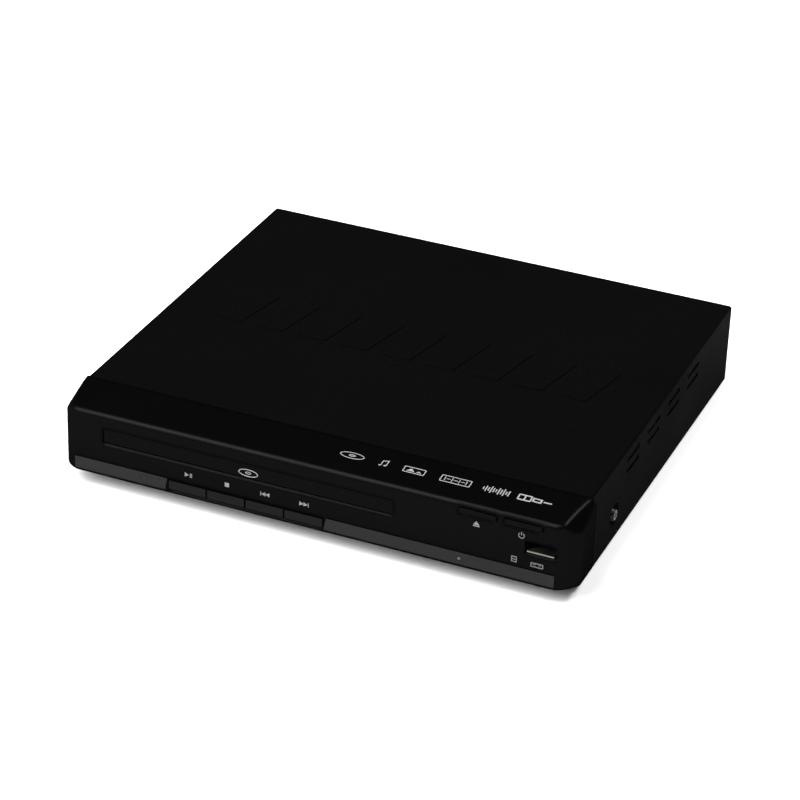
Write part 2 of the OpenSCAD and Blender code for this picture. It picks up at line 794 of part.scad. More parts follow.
// A grooved belt pulley with its groove at the belt's height.
module pulley(r, h, hole) {
    groove = belt_z - pulley_z;
    rim = r + belt_t * 0.6;
    rotate_extrude($fn = 64)
        polygon([[hole, 0], [rim, 0], [rim, groove - 0.35], [r - 0.05, groove - 0.1],
                 [r - 0.05, groove + belt_t + 0.1], [rim, groove + belt_t + 0.35], [rim, h], [hole, h]]);
}

module loading_belt() {
    lean = asin((pulley_r - motor_pulley_r) / (motor_x - pulley_gear_x));
    color("#161616") in_frame() translate([0, gear_y, belt_z]) linear_extrude(belt_t) {
        belt_run(pulley_r, motor_pulley_r, lean, belt_t);
    }
}

// Flat drawing of a belt round two pulleys.
module belt_run(big, small, lean, t) {
    difference() {
        belt_area(big + t, small + t, lean);
        belt_area(big, small, lean);
    }
}

module belt_area(big, small, lean) {
    sunk = 0.02; // keeps the straight runs from only touching the round ends
    translate([pulley_gear_x, 0]) circle(big, $fn = 64);
    translate([motor_x, 0]) circle(small, $fn = 64);
    polygon([for (s = [-1, 1], p = s < 0 ? [[pulley_gear_x, big - sunk], [motor_x, small - sunk]]
                                         : [[motor_x, small - sunk], [pulley_gear_x, big - sunk]])
             [p[0] + p[1] * sin(lean), s * p[1] * cos(lean)]]);
}

module loader_screws() {
    color("#c4c6c8") in_frame()
        for (y = ear_y, s = [-1, 1])
            translate([tray_x + s * ear_x, y, loader_z + 2.4]) screw(1.45, 7);
}

module tray_gear() {
    color("#e9e7df") in_frame() translate([tray_gear_x, gear_y, 0]) difference() {
        union() {
            translate([0, 0, tray_z + 0.1]) gear(load_module, rack_gear_teeth, rack_t - 0.3);
            translate([0, 0, gear_z]) gear(load_module, tray_gear_teeth, gear_t);
            cylinder_at(pulley_z, tray_z - pulley_z + 0.2, 3.4);
        }
        cylinder_at(0, 40, post_r + shaft_gap);
    }
}

module pulley_gear() {
    color("#e9e7df") in_frame() translate([pulley_gear_x, gear_y, 0]) difference() {
        union() {
            translate([0, 0, gear_z]) rotate(180 + 180 / pulley_gear_teeth)
                gear(load_module, pulley_gear_teeth, gear_t);
            translate([0, 0, pulley_z]) pulley(pulley_r, 2.5, 1.2);
            cylinder_at(pulley_z, gear_z - pulley_z + 0.1, 4.4);
        }
        cylinder_at(0, 40, post_r + shaft_gap);
    }
}

module cam_slider() {
    color("#ecebe6") in_frame() difference() {
        union() {
            block([tray_x - 12, tray_x + 24], [cam_y, cam_y + cam_t], [floor_top + 0.5, cam_pin_z + 3.4]);
            block([tray_x - 24, tray_x + 24], [cam_y, cam_y + cam_t], [floor_top + 0.5, loader_z + 2.4]);
        }
        // Sloping slot that lifts the drive, level at both ends
        cam_slot();
    }
}

module cam_slot() {
    r = cam_pin_r + slide_gap;
    rise = atan(cam_rise / cam_travel);
    upright(cam_y - 1, cam_t + 2) translate([tray_x, cam_low_z]) {
        circle(r);
        translate([cam_travel, cam_rise]) circle(r);
        rotate(rise) translate([0, -r]) square([norm([cam_travel, cam_rise]), 2 * r]);
    }
}

// ---- Disc tray ----

module disc_tray() {
    color("#1d1e20") in_frame() difference() {
        block([tray_x - tray_w / 2, tray_x + tray_w / 2], [tray_y, tray_end], [tray_z, tray_top]);
        // Edge cut back for the rack
        block([tray_x - tray_w / 2 - 1, rack_x + 1.15 * load_module], [gear_y - 12, tray_end + 1],
              [tray_z - 1, tray_z + rack_t + slide_gap]);
        // Recesses for a large and a small disc
        translate([tray_x, disc_y, disc_floor]) cylinder(h = 9, r = disc_r, $fn = 96);
        translate([tray_x, disc_y, small_disc_floor]) cylinder(h = 9, r = small_disc_r, $fn = 96);
        // Slot for the turntable and the pickup
        drive_slot();
        // Finger hollows beside the disc
        for (s = [-1, 1])
            translate([tray_x + s * (disc_r - 7), disc_y - 46, disc_floor + 0.6])
                cylinder(h = 9, r = 9);
        // Lightening pockets behind the disc
        for (s = [-1, 1])
            block(s > 0 ? [tray_x + 29, tray_x + 58] : [tray_x - 54, tray_x - 29],
                  [disc_y + disc_r + 6, tray_end - 5], [tray_z + 1.8, tray_top + 1]);
        // Runs for the guides over the edges
        for (s = [-1, 1])
            block(s > 0 ? [tray_x + tray_w / 2 - edge_run_w, tray_x + tray_w / 2 + 1]
                        : [tray_x - tray_w / 2 - 1, tray_x - tray_w / 2 + edge_run_w],
                  [loader_y, tray_end + 1], [tray_top - 0.8, tray_top + 1]);
    }
    color("#1d1e20") in_frame() translate([rack_x, gear_y, tray_z]) mirror([1, 0, 0])
        rack(load_module, -9, tray_travel + 9, 1.3 * load_module, rack_t);
}

module drive_slot() {
    translate([tray_x, disc_y, tray_z - 4]) {
        difference() {
            cylinder(h = 14, r = turntable_r + 4.5);
            translate([-40, 0, -1]) cube([80, 40, 20]);
        }
        translate([-slot_w / 2, -0.01, 0]) cube([slot_w, tray_end, 14]);
    }
}

module tray_door() {
    half = door_w / 2;
    color("#131314") in_frame() {
        difference() {
            block([tray_x - half, tray_x + half], [door_y, tray_y], [door_z, door_z + door_h]);
            // Shallow recess in its back
            block([tray_x - half + 2, tray_x + half - 2], [tray_y - 0.8, tray_y + 1],
                  [door_z + 1.4, door_z + door_h - 1.4]);
        }
        // Clips over the front rim of the tray
        for (x = [tray_x - 45, tray_x, tray_x + 45])
            block([x - 4, x + 4], [tray_y - 1, tray_y], [door_z + 1, door_z + door_h - 1]);
    }
}

// ---- Disc drive ----

module traverse_holder() {
    color("#202124") in_frame() lowered() difference() {
        union() {
            difference() {
                block(holder_x, holder_y, [holder_z, holder_z + holder_t]);
                block([holder_x[0] + holder_rim, holder_x[1] - holder_rim],
                      [holder_y[0] + holder_rim, holder_y[1] - holder_rim],
                      [holder_z - 1, holder_z + holder_t + 1]);
            }
            // Hinge pins and their arms
            translate([holder_x[0] - 3.2, hinge_y, hinge_z]) rotate([0, 90, 0])
                cylinder(h = 7, r = hinge_pin_r);
            translate([holder_x[1] - 3.8, hinge_y, hinge_z]) rotate([0, 90, 0])
                cylinder(h = 7, r = hinge_pin_r);
            for (x = [holder_x[0], holder_x[1] - 3.6])
                block([x, x + 3.6], [hinge_y - 3.6, hinge_y + 1.5], [holder_z, hinge_z + 1.8]);
            // Pin that rides in the slider
            block([tray_x - 4, tray_x + 4], [holder_y[0], holder_y[0] + 3], [holder_z, cam_pin_z + 2]);
            translate([tray_x, holder_y[0] + 1, cam_pin_z]) rotate([90, 0, 0])
                cylinder(h = holder_y[0] + 1 - cam_y - 0.6, r = cam_pin_r);
            // Rim ribs
            for (x = [holder_x[0], holder_x[1] - 1.2])
                block([x, x + 1.2], [holder_y[0] + 12, hinge_y - 12], [holder_z, holder_z + holder_t + 2]);
        }
        for (p = damper_places())
            translate([p[0], p[1], holder_z - 1]) cylinder(h = 9, r = 1.3);
    }
}

function damper_places() = [for (x = [holder_x[0] + 3.25 + 1.3, holder_x[1] - 3.25 - 1.3],
                                 y = [57, 143])
                            [x, y]];

module traverse_plate() {
    color("#b4b7ba") in_frame() lowered() {
        difference() {
            block([holder_x[0] + 1.5, holder_x[1] - 1.5], [holder_y[0] + 3.4, rod_y[1] + 1],
                  [plate_z, plate_z + plate_t]);
            block([tray_x - rod_gap / 2 - 4, tray_x + rod_gap / 2 + 4], [rod_y[0] + 5, rod_y[1] - 4],
                  [plate_z - 1, plate_z + 3]);
            for (p = damper_places())
                translate([p[0], p[1], plate_z - 1]) cylinder(h = 9, r = 2.05);
            translate([sled_gear_x, sled_motor_y, plate_z - 1]) cylinder(h = 5, r = 2.2);
            translate([tray_x, disc_y, plate_z - 1]) cylinder(h = 5, r = 3);
        }
        // Posts that hold the ends of the guide rods
        for (s = [-1, 1], y = [rod_y[0], rod_y[1] - 3.6])
            difference() {
                block([tray_x + s * rod_gap / 2 - 3, tray_x + s * rod_gap / 2 + 3], [y, y + 3.6],
                      [plate_z + plate_t - 0.05, rod_z + rod_r + 0.7]);
                translate([tray_x + s * rod_gap / 2, y - 1, rod_z]) rotate([-90, 0, 0])
                    cylinder(h = 9, r = rod_r + 0.02);
            }
        translate([sled_gear_x, sled_gear_y, plate_z]) {
            cylinder(h = sled_gear_z + 2.6 - plate_z, r = 1);
            cylinder(h = plate_t + 0.3, r = 2.2);
        }
    }
}

module traverse_dampers() {
    color("#3a2f2b") in_frame() lowered()
        for (p = damper_places())
            translate([p[0], p[1], 0]) rotate_extrude()
                polygon([[0, holder_z + holder_t], [3, holder_z + holder_t],
                         [3, plate_z], [2, plate_z], [2, plate_z + plate_t],
                         [3, plate_z + plate_t], [2.6, plate_z + plate_t + 1.6],
                         [0, plate_z + plate_t + 1.6]]);
}

module guide_rods() {
    color("#d5d7d9") in_frame() lowered()
        for (s = [-1, 1])
            translate([tray_x + s * rod_gap / 2, rod_y[0] - 0.6, rod_z]) rotate([-90, 0, 0])
                cylinder(h = rod_y[1] - rod_y[0] + 1.2, r = rod_r);
}

module spindle_motor() {
    color("#9b9ea2") in_frame() lowered() translate([tray_x, disc_y, 0]) difference() {
        union() {
            cylinder_at(plate_z + plate_t, 4.6, 12.5);
            cylinder_at(plate_z + plate_t + 4.5, 0.6, 4);
            cylinder_at(plate_z - 1.4, 2.5, 2.9);
        }
        cylinder_at(plate_z + 1, 20, 1 + shaft_gap);
    }
}

module turntable() {
    color("#e2e2df") in_frame() lowered() translate([tray_x, disc_y, 0]) {
        rotate_extrude($fn = 64)
            polygon([[0, plate_z + 1.6], [1, plate_z + 1.6], [1, seat_z - 2.6], [4, seat_z - 2.6],
                     [4, seat_z - seat_t], [turntable_r, seat_z - seat_t], [turntable_r, seat_z],
                     [turntable_r - 0.8, seat_z], [turntable_r - 0.8, seat_z - 0.4],
                     [turntable_r - 4.4, seat_z - 0.4], [turntable_r - 4.4, seat_z],
                     [cone_r, seat_z], [cone_r, seat_z + 0.6], [cone_r - 1.4, seat_z + 1.8],
                     [cone_r - 3.4, seat_z + 1.8], [cone_r - 3.9, seat_z + 1.2], [0, seat_z + 1.2]]);
    }
}

module turntable_pad() {
    color("#2a2a2a") in_frame() lowered() translate([tray_x, disc_y, seat_z - 0.4])
        tube(0.5, turntable_r - 0.9, turntable_r - 4.3);
}

module clamper() {
    color("#f0efe9") in_frame() translate([tray_x, disc_y, 0]) {
        rotate_extrude($fn = 64)
            polygon([[0, tray_top + 1.6], [cone_r - 2, tray_top + 1.6], [cone_r - 2, tray_top + 0.9],
                     [clamp_r, tray_top + 0.9], [clamp_r, loader_top + 1.4 + slide_gap],
                     [clamp_r + 3.6, loader_top + 1.4 + slide_gap],
                     [clamp_r + 3.6, loader_top + 2.6], [7, loader_top + 2.6],
                     [6, loader_top + 3.8], [0, loader_top + 3.8]]);
    }
}

module pickup_sled() {
    x = tray_x;
    color("#5d6066") in_frame() lowered() {
        difference() {
            union() {
                block([x - 20, x + 20], [sled_y, sled_y + sled_len], [plate_z + 0.4, rod_z + 3.4]);
                block([x - 13, x + 13], [sled_y + 3, sled_y + 23], [plate_z - 0.5, plate_z + 1]);
                block([x - 16, x + 16], [sled_y + 2, sled_y + 24], [rod_z + 3, rod_z + 4.2]);
                for (y = [sled_y, sled_y + sled_len - 8])
                    block([x + rod_gap / 2 - 2.7, x + rod_gap / 2 + 2.7], [y, y + 8],
                          [rod_z - 1.4, rod_z + 2.5]);
                block([x - rod_gap / 2 - 2.7, x - 19], [sled_y, sled_y + sled_len],
                      [rod_z - 1.4, rod_z + 2.5]);
                block([x + 19, sled_rack_x - sled_module - 1], [sled_y, sled_y + sled_len],
                      [rod_z - 1.2, rod_z + 1.6]);
                translate([sled_rack_x, sled_gear_y, sled_gear_z])
                    rack(sled_module, -sled_travel - 5, 5, 2.8, 1.9);
            }
            for (s = [-1, 1])
                translate([x + s * rod_gap / 2, sled_y - 60, rod_z]) rotate([-90, 0, 0])
                    cylinder(h = 200, r = rod_r + shaft_gap);
            // Well of the lens
            translate([x, lens_y, rod_z]) cylinder(h = 9, r = 6.2);
        }
        translate([x, lens_y, rod_z - 0.2]) tube(2.8, 6.3, 4.6);
    }
}

module objective_lens() {
    color([0.55, 0.65, 0.85, 0.8]) in_frame() lowered() translate([tray_x, lens_y, 0])
        rotate_extrude()
            polygon([[0, rod_z], [3.4, rod_z], [3.4, rod_z + 4.6], [2.6, rod_z + 5],
                     [1.4, rod_z + 5.3], [0, rod_z + 5.4]]);
}

module sled_gear() {
    color("#efeee8") in_frame() lowered() translate([sled_gear_x, sled_gear_y, 0]) difference() {
        translate([0, 0, sled_gear_z]) rotate(180) gear(sled_module, sled_gear_teeth, 1.9, 0.16);
        cylinder_at(0, 40, 1 + shaft_gap);
    }
}

module sled_motor() {
    color("#a9acb0") in_frame() lowered() translate([sled_gear_x, sled_motor_y, 0]) {
        cylinder_at(8, plate_z - 8, 7.8);
        cylinder_at(plate_z - 0.1, plate_t, 2.1);
        cylinder_at(plate_z, sled_gear_z + 2.4 - plate_z, 0.74);
    }
}

module sled_motor_gear() {
    color("#efeee8") in_frame() lowered() translate([sled_gear_x, sled_motor_y, 0]) difference() {
        translate([0, 0, sled_gear_z]) rotate(sled_pinion_turn)
            gear(sled_module, sled_pinion_teeth, 1.9, 0.16);
        cylinder_at(0, 40, 0.74 + shaft_gap);
    }
}

// ---- Electronics ----

// The posts stand low beside the doorway and high behind the bars.
function front_post_places() = [for (x = front_post_x) [x, lower_edge + (x > 50 ? 22.5 : 6.6)]];

module front_board() {
    color("#3f6b3a") in_frame() difference() {
        upright(board_y, board_t) {
            translate([32.5 - bezel_w / 2, lower_edge + 2.2]) square([bezel_w - 39, 9.5]);
            translate([56, lower_edge + 2.2]) square([50, 25.2]);
        }
        for (p = front_post_places())
            translate([p[0], board_y + 3, p[1]])
                rotate([90, 0, 0]) cylinder(h = 6, r = front_post_hole + 0.2);
    }
}

function key_places() = concat([for (i = [0:3]) [tray_x + (i - 1.5) * key_pitch, key_z]],
                               [[eject_x, bar_z], [power_x, bar_z]]);

module tact_switches() {
    color("#2e2e30") in_frame()
        for (p = key_places()) {
            block([p[0] - 3, p[0] + 3], [board_y - 2, board_y],
                  [max(p[1] - 3, lower_edge + 2.3), p[1] + 1.9]);
            translate([p[0], board_y - 1.9, p[1]]) rotate([90, 0, 0]) cylinder(h = 0.7, r = 1.3);
        }
}

module ir_receiver() {
    color("#1c1418") in_frame() {
        block([ir_x - 2.6, ir_x + 2.6], [board_y - 3, board_y], [lower_edge + 2.3, key_z + 3.6]);
        // Light guide and the window it ends in
        translate([ir_x, board_y - 2.9, key_z]) rotate([90, 0, 0]) cylinder(h = board_y - 6.6, r = 1.3);
        translate([ir_x, 3.8, key_z]) rotate([90, 0, 0]) cylinder(h = 4, r = ir_window_r);
    }
}

module status_led() {
    color("#e8e4d8") in_frame() translate([led_x, board_y, key_z]) rotate([90, 0, 0]) {
        cylinder(h = 1, r = 1.4);
        cylinder(h = board_y + 0.2, r = 0.6);
    }
}

// Folded steel shell of the USB port.
module usb_socket() {
    color("#c9cbcd") in_frame() difference() {
        block([usb_x - usb_w / 2, usb_x + usb_w / 2], [usb_back, board_y],
              [usb_z - usb_h / 2, usb_z + usb_h / 2]);
        block([usb_x - usb_w / 2 + 0.35, usb_x + usb_w / 2 - 0.35], [-1, board_y - 0.6],
              [usb_z - usb_h / 2 + 0.35, usb_z + usb_h / 2 - 0.35]);
    }
}

module usb_tongue() {
    color("#efe9d2") in_frame() {
        block([usb_x - 5.6, usb_x + 5.6], [0.2, board_y - 0.6],
              [usb_z - usb_h / 2 + 0.4, usb_z - usb_h / 2 + 1]);
    }
}

module board(x, y, z, holes) {
    difference() {
        block(x, y, [z, z + board_t]);
        for (p = holes)
            translate([p[0], p[1], z - 1]) cylinder(h = 4, r = 1.6);
    }
}

module main_board() {
    color("#2f6a45") in_frame() board([50, 107], [27, 121], board_z, main_posts);
}

module main_board_parts() {
    z = board_z + board_t;
    color("#2a2b2d") in_frame() {
        block([68, 92], [62, 86], [z, z + 1.6]);
        block([64, 74], [94, 112], [z, z + 1.1]);
        block([80, 90], [94, 112], [z, z + 1.1]);
        for (x = [60, 76, 92])
            block([x, x + 8], [30, 36], [z, z + 5]);
        for (p = [[58, 50, 4, 7], [66, 48, 3, 6], [98, 52, 4, 7], [98, 90, 5, 9], [58, 100, 4, 8]])
            translate([p[0], p[1], z]) {
                cylinder(h = p[3], r = p[2]);
                cylinder(h = p[3] + 0.3, r = p[2] - 0.8);
            }
    }
}

module power_board() {
    color("#b08a4a") in_frame() board([50, 107], [129, 181], board_z, power_posts);
}

module transformer() {
    z = board_z + board_t;
    color("#c7a53a") in_frame() {
        block([60, 82], [140, 162], [z, z + 3]);
        block([61, 81], [143, 159], [z + 15, z + 18]);
        block([66, 76], [143.5, 158.5], [z + 2.9, z + 15.1]);
        block([62, 80], [145, 157], [z + 3, z + 15.1]);
    }
}

module power_parts() {
    z = board_z + board_t;
    color("#26323f") in_frame() {
        for (p = [[95, 150, 7.5, 20], [58, 168, 4, 12], [68, 171, 4, 12]])
            translate([p[0], p[1], z]) {
                cylinder(h = p[3], r = p[2]);
                cylinder(h = p[3] + 0.3, r = p[2] - 1);
            }
        block([84, 98], [164, 172], [z, z + 12]);
        block([76, 80], [166, 178], [z, z + 6]);
    }
}

module heatsink() {
    z = board_z + board_t;
    color("#b5b8bb") in_frame() {
        block([80, 99], [136, 137.6], [z, z + 22]);
        for (i = [0:4])
            block([80 + i * 4.35, 81.6 + i * 4.35], [131, 136.1], [z, z + 22]);
    }
}

// Figure-eight mains inlet with its two pins.
module mains_inlet() {
    color("#19191a") in_frame() {
        difference() {
            union() {
                block([inlet_x - 10.5, inlet_x + 10.5], [case_d - 19, case_d - sheet],
                      [inlet_z - 6.4, inlet_z + 6.4]);
                upright(case_d - 2, 3.2) figure_eight(inlet_r);
            }
            upright(case_d - 13, 20) figure_eight(inlet_r - 1.7, inlet_reach - 0.2);
        }
        for (s = [-1, 1])
            translate([inlet_x + s * (inlet_reach - 0.2), case_d - 1.2, inlet_z]) rotate([90, 0, 0])
                cylinder(h = 13, r = 1.15);
        block([inlet_x - 6, inlet_x + 6], [case_d - 19, case_d - 14],
              [board_z + board_t, inlet_z - 6]);
    }
}

module figure_eight(r, reach = inlet_reach) {
    for (s = [-1, 1])
        translate([inlet_x + s * reach, inlet_z]) circle(r);
    translate([inlet_x - reach, inlet_z - r * 0.75]) square([2 * reach, r * 1.5]);
}

module av_board() {
    color("#2f6a45") in_frame()
        block([jack_x[0] - 10, coax_x + 10], [loader_end + 2, panel_y - 1],
              [jack_z[0] - 9, jack_z[0] - 9 + board_t]);
}

function jack_places() = concat([for (x = jack_x, z = jack_z) [x, z]], [[coax_x, jack_z[0]]]);

module av_jack_block() {
    low = jack_z[0] - 9 + board_t;
    color("#1f1f21") in_frame() difference() {
        union() {
            block([jack_x[0] - 6.4, jack_x[2] + 6.4], [jack_y, panel_y], [low, jack_z[1] + 6.4]);
            block([coax_x - 6.4, coax_x + 6.4], [jack_y, panel_y], [low, jack_z[0] + 6.4]);
        }
        for (p = jack_places())
            translate([p[0], panel_y + 1, p[1]]) rotate([90, 0, 0]) cylinder(h = 9, r = phono_r);
    }
}

module av_jack_barrels() {
    color("#cfd1d3") in_frame()
        for (p = jack_places())
            translate([p[0], case_d + phono_reach, p[1]]) rotate([90, 0, 0])
                tube(phono_reach + sheet + 7.9, phono_r, 3.4);
}

module av_jack_inserts() {
    color("#d9c23a") in_frame()
        for (p = jack_places())
            translate([p[0], case_d + phono_reach - 0.6, p[1]]) rotate([90, 0, 0])
                tube(phono_reach + sheet + 7.2, 3.35, 1.65);
}

module rear_panel() {
    half = pan_w / 2;
    color("#161617") in_frame() difference() {
        block([-half, half], [panel_y, case_d], [foot_h, case_top - sheet - seam_gap]);
        for (p = jack_places())
            translate([p[0], case_d + 1, p[1]]) rotate([90, 0, 0]) cylinder(h = 4, r = phono_r + 0.35);
        upright(panel_y - 1, 4) figure_eight(inlet_r + 0.2);
        for (i = [0:8], z = [foot_h + 24, foot_h + 29])
            block([26 + i * 5.4, 29.4 + i * 5.4], [panel_y - 1, case_d + 1], [z - 1.6, z + 1.8]);
        for (p = rear_screw_places())
            translate([p[0], case_d + 1, p[1]]) rotate([90, 0, 0]) cylinder(h = 4, r = 1.6);
    }
}

function rear_screw_places() = [[6.2 - case_w / 2, foot_h + 8], [case_w / 2 - 6.2, foot_h + 8],
                                [20.2 - case_w / 2, case_top - 5], [0, case_top - 5],
                                [case_w / 2 - 14.2, case_top - 5]];

module rear_screws() {
    color("#b9bbbd") in_frame() {
        for (p = rear_screw_places())
            translate([p[0], case_d, p[1]]) rotate([-90, 0, 0]) screw(1.45, 4);
    }
}

module board_screws() {
    color("#c4c6c8") in_frame()
        for (p = board_posts)
            translate([p[0], p[1], board_z + board_t]) screw(1.25, 5);
}

// Flat cable from the main board to the front board.
module front_ribbon() {
    color("#d9d9d6") in_frame() {
        block([80, 100], [board_y + board_t, 28], [lower_edge + 8.6, lower_edge + 9]);
        block([80, 100], [27.6, 28], [board_z + board_t + 0.2, lower_edge + 9]);
    }
}

// Wires from the power board to the main board, in their plugs.
module power_harness() {
    z = board_z + board_t;
    color("#8a2f2a") in_frame() {
        for (i = [0:3])
            translate([66 + i * 2.2, 116, z + 4]) rotate([-90, 0, 0])
                cylinder(h = 16, r = 0.8, $fn = 16);
        for (y = [114, 131])
            block([64.6, 74], [y, y + 3], [z, z + 5.4]);
    }
}

front_bezel();
trim_left();
trim_right();
top_cover();
chassis_pan();
rear_panel();
rubber_feet();
cover_side_screws();
rear_screws();
loader_frame();
clamp_bridge();
loading_motor();
loading_belt();
loader_screws();
front_board();
tact_switches();
ir_receiver();
status_led();
usb_socket();
usb_tongue();
main_board();
main_board_parts();
power_board();
transformer();
power_parts();
heatsink();
mains_inlet();
av_board();
av_jack_block();
av_jack_barrels();
av_jack_inserts();
board_screws();
front_ribbon();
power_harness();
disc_tray();
tray_door();
tray_gear();
pulley_gear();
motor_pulley();
clamper();
cam_slider();
traverse_holder();
traverse_plate();
traverse_dampers();
guide_rods();
spindle_motor();
sled_motor();
turntable();
turntable_pad();
pickup_sled();
objective_lens();
sled_gear();
sled_motor_gear();
play_key();
stop_key();
previous_key();
next_key();
eject_key();
power_key();
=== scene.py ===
import math

import bmesh
import bpy
from mathutils import Matrix, Vector
from mathutils.bvhtree import BVHTree


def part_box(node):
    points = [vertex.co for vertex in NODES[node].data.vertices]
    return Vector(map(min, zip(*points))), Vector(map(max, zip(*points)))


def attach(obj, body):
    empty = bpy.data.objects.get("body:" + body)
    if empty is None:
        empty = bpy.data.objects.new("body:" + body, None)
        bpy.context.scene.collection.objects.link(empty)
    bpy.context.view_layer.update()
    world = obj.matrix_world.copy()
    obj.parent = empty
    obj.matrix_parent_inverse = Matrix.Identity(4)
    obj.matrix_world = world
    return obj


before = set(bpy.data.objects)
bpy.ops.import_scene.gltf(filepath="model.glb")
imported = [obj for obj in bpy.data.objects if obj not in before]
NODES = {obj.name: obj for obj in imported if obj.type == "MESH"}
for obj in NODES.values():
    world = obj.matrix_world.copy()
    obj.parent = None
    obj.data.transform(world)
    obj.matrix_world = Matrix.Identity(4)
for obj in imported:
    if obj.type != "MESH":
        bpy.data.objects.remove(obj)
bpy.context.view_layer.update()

bl_info = {
    "name": "Disc player with tray",
    "version": (1, 0, 0),
    "blender": (4, 5, 0),
    "location": "View3D > Sidebar > Disc player",
    "description": "Finishes and printed marks of a slim disc player with a sliding tray",
    "category": "Object",
}

MM = 0.001

# Places on the front, in millimetres: the front's plane, its lower edge, how far the marks over the play
# keys stand above that edge, and where the row on the slope stands behind the front and over the floor.
FRONT_Y = -105.4
LOWER_EDGE = 7.3
KEY_MARK_RISE = 10.4
SLOPE_MARK_BACK = 12.0
SLOPE_TOP = 38.0

# The planes that marks are drawn in, by their directions across and up.
UPRIGHT = ((1, 0, 0), (0, 0, 1))
LEVEL = ((1, 0, 0), (0, 1, 0))

# A texture that runs the same along every axis.
EVEN = (1.0, 1.0, 1.0)

# Corners closer than this are one, in metres.
JOIN_DISTANCE = 0.000001

# A mark looks for its carrier from this far outside, over this length, in metres.
PROBE_START = 0.01
PROBE_LENGTH = 0.03

# The height that the marks on the slope are drawn for, in millimetres.
SLOPE_MARK_DRAWN = 4.2


# ---------------------------------------------------------------- settings

class PlayerFinish(bpy.types.PropertyGroup):
    """Colours and surface values of the player's finishes."""
    gloss_colour: bpy.props.FloatVectorProperty(
        name="Gloss moulding", description="Colour of the polished front, door and keys",
        subtype="COLOR", size=3, min=0.0, max=1.0, default=(0.0008, 0.0008, 0.00085))
    cover_colour: bpy.props.FloatVectorProperty(
        name="Cover paint", description="Colour of the textured paint on the case",
        subtype="COLOR", size=3, min=0.0, max=1.0, default=(0.0016, 0.0016, 0.0017))
    strip_colour: bpy.props.FloatVectorProperty(
        name="Trim strip", description="Colour of the satin strips under the door",
        subtype="COLOR", size=3, min=0.0, max=1.0, default=(0.01, 0.01, 0.0105))
    key_colour: bpy.props.FloatVectorProperty(
        name="Play keys", description="Colour of the four play keys",
        subtype="COLOR", size=3, min=0.0, max=1.0, default=(0.0024, 0.0024, 0.0025))
    mark_colour: bpy.props.FloatVectorProperty(
        name="Printed marks", description="Colour of the marks printed on the front",
        subtype="COLOR", size=3, min=0.0, max=1.0, default=(0.2, 0.2, 0.204))
    gloss_roughness: bpy.props.FloatProperty(
        name="Gloss roughness", description="Roughness of the polished mouldings",
        min=0.0, max=1.0, default=0.22)
    cover_roughness: bpy.props.FloatProperty(
        name="Cover roughness", description="Roughness of the textured paint",
        min=0.0, max=1.0, default=0.46)


class PlayerMarks(bpy.types.PropertyGroup):
    """Sizes of the printed marks."""
    print_lift: bpy.props.FloatProperty(
        name="Print lift", description="Gap between a mark and the surface below it",
        subtype="DISTANCE", unit="LENGTH", default=0.00001)
    print_depth: bpy.props.FloatProperty(
        name="Print depth", description="Thickness of the printed layer",
        subtype="DISTANCE", unit="LENGTH", default=0.00006)
    key_mark_size: bpy.props.FloatProperty(
        name="Key mark height", description="Height of the marks above the play keys",
        subtype="DISTANCE", unit="LENGTH", default=0.0019)
    slope_mark_size: bpy.props.FloatProperty(
        name="Slope mark height", description="Height of the marks on the sloping top of the front",
        subtype="DISTANCE", unit="LENGTH", default=0.0042)


class PlayerStage(bpy.types.PropertyGroup):
    """Floor, lights and camera."""
    floor_colour: bpy.props.FloatVectorProperty(
        name="Floor", description="Colour of the floor",
        subtype="COLOR", size=3, min=0.0, max=1.0, default=(0.86, 0.86, 0.86))
    floor_size: bpy.props.FloatProperty(
        name="Floor size", description="Side of the square floor",
        subtype="DISTANCE", unit="LENGTH", default=14.0)
    focal_length: bpy.props.FloatProperty(
        name="Focal length", description="Focal length of the camera",
        subtype="DISTANCE_CAMERA", unit="CAMERA", default=130.44)
    light_power: bpy.props.FloatProperty(
        name="Light power", description="Factor on the power of all lights",
        min=0.0, default=1.0)


# ---------------------------------------------------------------- materials

def new_material(name):
    """An empty node material with a Principled shader and the object's own coordinates."""
    material = bpy.data.materials.new(name)
    material.use_nodes = True
    tree = material.node_tree
    tree.nodes.clear()
    output = tree.nodes.new("ShaderNodeOutputMaterial")
    shader = tree.nodes.new("ShaderNodeBsdfPrincipled")
    tree.links.new(shader.outputs["BSDF"], output.inputs["Surface"])
    place = tree.nodes.new("ShaderNodeTexCoord")
    return material, tree, shader, place.outputs["Object"]


def scaled(tree, place, stretch):
    """The coordinates stretched along each axis."""
    mapping = tree.nodes.new("ShaderNodeMapping")
    mapping.inputs["Scale"].default_value = stretch
    tree.links.new(place, mapping.inputs["Vector"])
    return mapping.outputs["Vector"]


def noise(tree, place, scale, detail=3.0, rough=0.55):
    """A noise value at the given scale, in cells per metre."""
    node = tree.nodes.new("ShaderNodeTexNoise")
    node.inputs["Scale"].default_value = scale
    node.inputs["Detail"].default_value = detail
    node.inputs["Roughness"].default_value = rough
    tree.links.new(place, node.inputs["Vector"])
    return node.outputs["Fac"]


def spread(tree, value, low, high, from_low=0.3, from_high=0.7):
    """value remapped from from_low..from_high, the usual noise range, to low..high."""
    node = tree.nodes.new("ShaderNodeMapRange")
    node.inputs["From Min"].default_value = from_low
    node.inputs["From Max"].default_value = from_high
    node.inputs["To Min"].default_value = low
    node.inputs["To Max"].default_value = high
    tree.links.new(value, node.inputs["Value"])
    return node.outputs["Result"]


